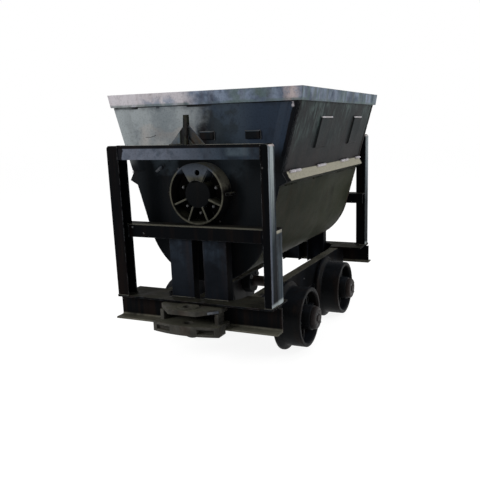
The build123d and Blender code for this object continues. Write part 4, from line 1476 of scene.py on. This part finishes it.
class CART_OT_castings(bpy.types.Operator):
    """Cast the roll rings and bumpers with rounded edges"""

    bl_idname = "cart.castings"
    bl_label = "Cast rings and bumpers"

    def execute(self, context):
        steps = context.scene.cart_sizes.turn_steps
        for end, side in (("f", -1), ("r", 1)):
            self.cast_ring(end, side, steps)
            for stem in ("bumper_plate_", "bumper_block_"):
                rounded_copy(stem + end, "chassis", bumper.edge, "bumper_iron")
            self.add_boss(end, side)
        return {"FINISHED"}

    def cast_ring(self, end, side, steps):
        """Roll ring: rim, sunk hub, ribs, closed top sector with a hole, and side stops."""
        low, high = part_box("roll_ring_" + end)
        radius = (high.z - low.z) / 2
        deep = high.y - low.y
        foot = low.y if side > 0 else -high.y
        centre = Vector((0.0, 0.0, (low.z + high.z) / 2))
        inside = radius - roll_ring.wall
        axis = along_y
        outline = rounded((
            (foot, 0.0, 0.0),
            (foot, radius, 0.0),
            (foot + deep, radius, 0.003),
            (foot + deep, inside, 0.002),
            (foot + roll_ring.back, inside, 0.006),
            (foot + roll_ring.back, roll_ring.hub_r, 0.006),
            (foot + deep - roll_ring.hub_in, roll_ring.hub_r, 0.004),
            (foot + deep - roll_ring.hub_in, 0.0, 0.0),
        ))
        bm = bmesh.new()
        turn_outline(bm, outline, centre, axis, side, steps)
        close_poles(bm)
        depth = deep - roll_ring.rib_in - roll_ring.back
        middle = (inside + roll_ring.hub_r) / 2
        for clock in roll_ring.ribs:
            angle, out = self.clock_way(clock, side)
            place = centre + out * middle + axis * side * (foot + roll_ring.back + depth / 2 - bite)
            size = (inside - roll_ring.hub_r + 3 * bite, depth + 2 * bite, roll_ring.rib_t)
            add_block(bm, place, size, Matrix.Rotation(-angle, 4, "Y"), roll_ring.edge)
        for clock in roll_ring.bolts:
            seat = centre + self.clock_way(clock, side)[1] * roll_ring.bolt_reach
            boss = rounded((
                (foot + 0.004, 0.0, 0.0),
                (foot + 0.004, roll_ring.boss_r + 0.002, 0.0),
                (foot + roll_ring.boss_top, roll_ring.boss_r, 0.002),
                (foot + roll_ring.boss_top, 0.0, 0.0),
            ), 3)
            turn_outline(bm, boss, seat, axis, side, 24)
            close_poles(bm)
        for angle in (0.0, math.pi):
            out = Vector((math.cos(angle), 0, 0))
            place = centre + out * (radius + roll_ring.stop / 2 - bite)
            place += axis * side * (foot + roll_ring.stop_y / 2)
            size = (roll_ring.stop + 2 * bite, roll_ring.stop_y, roll_ring.stop_t)
            add_block(bm, place, size, None, roll_ring.edge)
        self.add_sector(bm, centre, axis * side, foot + deep, middle, inside)
        casting = add_piece("cast_ring_" + end, bm, "hopper", "roll_ring_iron")
        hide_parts("roll_ring_" + end)

    def clock_way(self, clock, side):
        """The angle and the direction of a rib or bolt on the front or the rear ring."""
        angle = math.radians(clock if side < 0 else 180 - clock)
        return angle, Vector((math.cos(angle), 0, math.sin(angle)))

    def add_sector(self, bm, centre, axis, front, middle, inside):
        """Plate between the two upper ribs, closed round the locking pin's hole."""
        turned = -axis.y * roll_ring.pin_turn
        hole = centre + Vector((middle * math.sin(turned), 0, middle * math.cos(turned)))
        turns = [2 * math.pi * step / hole_steps for step in range(hole_steps)]
        ways = [Vector((math.cos(turn), 0, math.sin(turn))) for turn in turns]
        inner = [hole + way * roll_ring.pin_r for way in ways]
        outer = [self.sector_edge(centre, hole, way, inside) for way in ways]
        behind = front - roll_ring.plate_t
        loops = [
            [bm.verts.new(place + axis * level) for place in edge]
            for edge, level in ((outer, front), (inner, front), (inner, behind), (outer, behind))
        ]
        for first, second in zip(loops, loops[1:] + loops[:1]):
            bridge(bm, first, second)

    def sector_edge(self, centre, hole, way, inside):
        """Where a line from the hole meets the sector's two sides or its two arcs."""
        reach = 0.0
        slope = math.tan(math.pi / 6)
        while reach < inside:
            point = hole + way * reach - centre
            past_arcs = not roll_ring.hub_r - bite <= point.length <= inside + bite
            if past_arcs or abs(point.x) > point.z * slope:
                break
            reach += sector_step
        return hole + way * reach

    def add_boss(self, end, side):
        """Raised oval round the coupling pin's hole, and a pale bar of rubbed steel on the nose's edge, a
        painted highlight.
        """
        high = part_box("bumper_plate_" + end)[1]
        hole = Vector((0.0, side * bumper.pin_y, high.z))
        middle = hole - Vector((0.0, side * bumper.boss_back, 0.0))
        loops = []
        bm = bmesh.new()
        for wide, deep, level in bumper.boss_levels:
            loop = []
            for step in range(hole_steps):
                turn = 2 * math.pi * step / hole_steps
                way = Vector((math.cos(turn), math.sin(turn), 0.0))
                if wide > 0.0:
                    place = middle + Vector((way.x * wide, way.y * deep, level))
                else:
                    place = hole + way * bumper.pin_r + Vector((0.0, 0.0, level))
                loop.append(bm.verts.new(place))
            loops.append(loop)
        for first, second in zip(loops, loops[1:] + loops[:1]):
            bridge(bm, first, second)
        add_piece("pin_boss_" + end, bm, "chassis", "bumper_iron", smooth=30.0)
        # The pale bar is a painted highlight along the nose's front edge
        bm = bmesh.new()
        level = high.z - bumper.bar_drop
        first, second = (Vector((-side * high.x * share, side * y, level)) for share, y in bumper.bar_ends)
        way = second - first
        turn = Matrix.Rotation(math.atan2(way.y, way.x), 4, "Z")
        add_block(bm, (first + second) / 2, (way.length, *bumper.bar_size), turn, 0.003)
        add_piece("highlight_bar_" + end, bm, "chassis", "rubbed_steel_and_glint", smooth=30.0)


class CART_OT_welds(bpy.types.Operator):
    """Weld the seams of hopper and chassis"""

    bl_idname = "cart.welds"
    bl_label = "Weld seams"

    def execute(self, context):
        tree = build_weld_tree()
        sizes = context.scene.cart_sizes
        rows = (
            # name, body, seams, finish, width as a share of the usual
            ("hopper_welds", "hopper", hopper_seams(), "hopper_end_enamel", 1.0),
            ("stiffener_welds", "hopper", stiffener_seams(), "hopper_side_enamel", 0.6),
            ("pad_welds_and_highlight", "hopper", pad_lit_edge_seams(), "weld_and_highlight_metal", 0.55),
            ("lug_stubs", "hopper", scrape_seams(), "rubbed_steel_and_glint", 1.6),
            ("scratches", "hopper", scratch_seams(), "axle_bar_steel", 0.30),
            ("cap_welds", "hopper", stiffener_caps(), "stitch_metal", 1.1),
            ("knee_welds", "hopper", knee_seams(True), "stitch_metal", 1.7),
            ("low_knee_welds", "hopper", knee_seams(False), "trough_enamel", 1.0),
            ("chassis_welds", "chassis", chassis_seams(), "chassis_enamel", 1.0),
        )
        for name, body, seams, finish, share in rows:
            size = {"Pitch": sizes.weld_pitch, "Width": sizes.weld_width * share}
            grow(name, body, seams, None, tree, finish, size)
        return {"FINISHED"}


class CART_OT_bolts(bpy.types.Operator):
    """Fit the bolts of rings, seats, beams and hub caps"""

    bl_idname = "cart.bolts"
    bl_label = "Fit bolts"

    def execute(self, context):
        tree = build_bolt_tree()
        sizes = context.scene.cart_sizes
        for name, body, scale, places in bolt_rows():
            points = [[place] for place, way in places]
            ways = [way for place, way in places]
            size = {"Flats": sizes.bolt_flats * scale, "Height": sizes.bolt_height * scale}
            grow(name, body, points, ways, tree, "bolt_steel", size)
        return {"FINISHED"}


# Stage

class studio:
    """Floor and world: their light, and what the camera sees of them."""

    floor_radius = 30.0
    floor_grey = (0.80, 0.80, 0.80, 1.0)
    floor_rough = 0.9
    floor_glow = 1.24
    floor_share = 0.72
    world_light = 0.40
    world_seen = 0.60


class photo:
    """The camera that was fitted to the photograph: degrees, metres, pixels and millimetres."""

    yaw = 23.7
    pitch = -13.0
    roll = -1.6
    place = (1.4085, -3.0771, 1.1177)
    focal = 617.3
    centre_x = 272.1
    centre_y = 267.4
    side = 480.0
    sensor = 36.0


def aim(obj, target):
    """Turn an object's -Z axis to a target."""
    way = Vector(target) - obj.location
    obj.rotation_euler = way.to_track_quat("-Z", "Y").to_euler()


def seen_rays(tree):
    """1 where the camera looks, straight or by reflection, and 0 for light."""
    path = add_node(tree, "ShaderNodeLightPath").outputs
    seen = add_math(tree, "MAXIMUM", path["Is Camera Ray"], path["Is Glossy Ray"])
    return add_math(tree, "MAXIMUM", seen, path["Is Transmission Ray"])


lamps = (
    # name, place, target, width, height, power
    ("key_softbox", (-2.5, -3.7, 2.3), (-0.2, -0.6, 0.9), 1.3, 1.3, 110.0),
    ("side_softbox", (4.4, 0.2, 2.4), (0.3, 0.2, 0.7), 2.0, 2.0, 90.0),
    ("top_softbox", (0.3, 0.6, 4.6), (0.0, 0.2, 0.8), 2.6, 2.6, 60.0),
)


class CART_OT_stage(bpy.types.Operator):
    """Set the floor, backdrop, lamps, world and camera"""

    bl_idname = "cart.stage"
    bl_label = "Set stage"

    def execute(self, context):
        scene = context.scene
        scene.view_settings.view_transform = "Standard"
        self.lay_floor(scene)
        self.light_world(scene)
        for name, place, target, width, height, power in lamps:
            lamp = bpy.data.lights.new(name, "AREA")
            lamp.shape = "RECTANGLE"
            lamp.size = width
            lamp.size_y = height
            lamp.energy = power
            made = bpy.data.objects.new(name, lamp)
            made.location = place
            aim(made, target)
            scene.collection.objects.link(made)
        self.place_camera(scene)
        return {"FINISHED"}

    def lay_floor(self, scene):
        """A wide pale floor that shows nearly white and keeps a soft shadow."""
        bm = bmesh.new()
        bmesh.ops.create_circle(bm, cap_ends=True, radius=studio.floor_radius, segments=64)
        mesh = bpy.data.meshes.new("floor")
        bm.to_mesh(mesh)
        bm.free()
        floor = bpy.data.objects.new("floor", mesh)
        scene.collection.objects.link(floor)
        material = bpy.data.materials.new("pale_floor")
        material.use_nodes = True
        tree = material.node_tree
        shader = tree.nodes["Principled BSDF"]
        feed(tree, shader.inputs["Base Color"], studio.floor_grey)
        feed(tree, shader.inputs["Roughness"], studio.floor_rough)
        glow = add_node(tree, "ShaderNodeEmission", Strength=studio.floor_glow)
        mixed = add_node(tree, "ShaderNodeMixShader")
        feed(tree, mixed.inputs[0], times(tree, seen_rays(tree), studio.floor_share))
        feed(tree, mixed.inputs[1], shader.outputs[0])
        feed(tree, mixed.inputs[2], glow.outputs[0])
        feed(tree, tree.nodes["Material Output"].inputs["Surface"], mixed.outputs[0])
        mesh.materials.append(material)

    def light_world(self, scene):
        """White behind the object, a soft grey for its light."""
        world = bpy.data.worlds.new("studio")
        scene.world = world
        world.use_nodes = True
        tree = world.node_tree
        back = tree.nodes["Background"].inputs
        level = add_range(tree, seen_rays(tree), 0.0, 1.0)
        feed(tree, back["Color"], (1.0, 1.0, 1.0, 1.0))
        feed(tree, back["Strength"], plus(tree, times(tree, level, studio.world_seen), studio.world_light))

    def place_camera(self, scene):
        """The photograph's view, with its small shift."""
        yaw, pitch, roll = (math.radians(value) for value in (photo.yaw, photo.pitch, photo.roll))
        level = Vector((-math.sin(yaw), math.cos(yaw), 0.0))
        forward = level * math.cos(pitch) + Vector((0.0, 0.0, math.sin(pitch)))
        right = Vector((math.cos(yaw), math.sin(yaw), 0.0))
        up = right.cross(forward)
        across = math.cos(roll) * right + math.sin(roll) * up
        upright = -math.sin(roll) * right + math.cos(roll) * up
        camera = bpy.data.cameras.new("camera")
        camera.sensor_width = photo.sensor
        camera.lens = photo.sensor * photo.focal / photo.side
        camera.shift_x = (photo.side / 2 - photo.centre_x) / photo.side
        camera.shift_y = (photo.centre_y - photo.side / 2) / photo.side
        made = bpy.data.objects.new("camera", camera)
        turn = Matrix((across, upright, -forward)).transposed().to_4x4()
        made.matrix_world = Matrix.Translation(photo.place) @ turn
        scene.collection.objects.link(made)
        scene.camera = made


steps = (
    CART_OT_finishes,
    CART_OT_chassis,
    CART_OT_hopper,
    CART_OT_running_gear,
    CART_OT_castings,
    CART_OT_welds,
    CART_OT_bolts,
    CART_OT_stage,
)


class CART_PT_panel(bpy.types.Panel):
    """Sizes, colours and steps of the ore cart"""

    bl_label = "Ore cart"
    bl_idname = "CART_PT_panel"
    bl_space_type = "VIEW_3D"
    bl_region_type = "UI"
    bl_category = "Ore cart"

    def draw(self, context):
        for group in (context.scene.cart_sizes, context.scene.cart_colours):
            for name in group.bl_rna.properties.keys():
                if name not in ("rna_type", "name"):
                    self.layout.prop(group, name)
        for step in steps:
            self.layout.operator(step.bl_idname)


classes = (CartSizes, CartColours) + steps + (CART_PT_panel,)


def register():
    for each in classes:
        bpy.utils.register_class(each)
    bpy.types.Scene.cart_sizes = bpy.props.PointerProperty(type=CartSizes)
    bpy.types.Scene.cart_colours = bpy.props.PointerProperty(type=CartColours)


def unregister():
    del bpy.types.Scene.cart_colours
    del bpy.types.Scene.cart_sizes
    for each in reversed(classes):
        bpy.utils.unregister_class(each)


def main():
    register()
    bpy.ops.cart.finishes()
    bpy.ops.cart.chassis()
    bpy.ops.cart.hopper()
    bpy.ops.cart.running_gear()
    bpy.ops.cart.castings()
    bpy.ops.cart.welds()
    bpy.ops.cart.bolts()
    bpy.ops.cart.stage()
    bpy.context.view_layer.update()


if __name__ == "__main__":
    main()
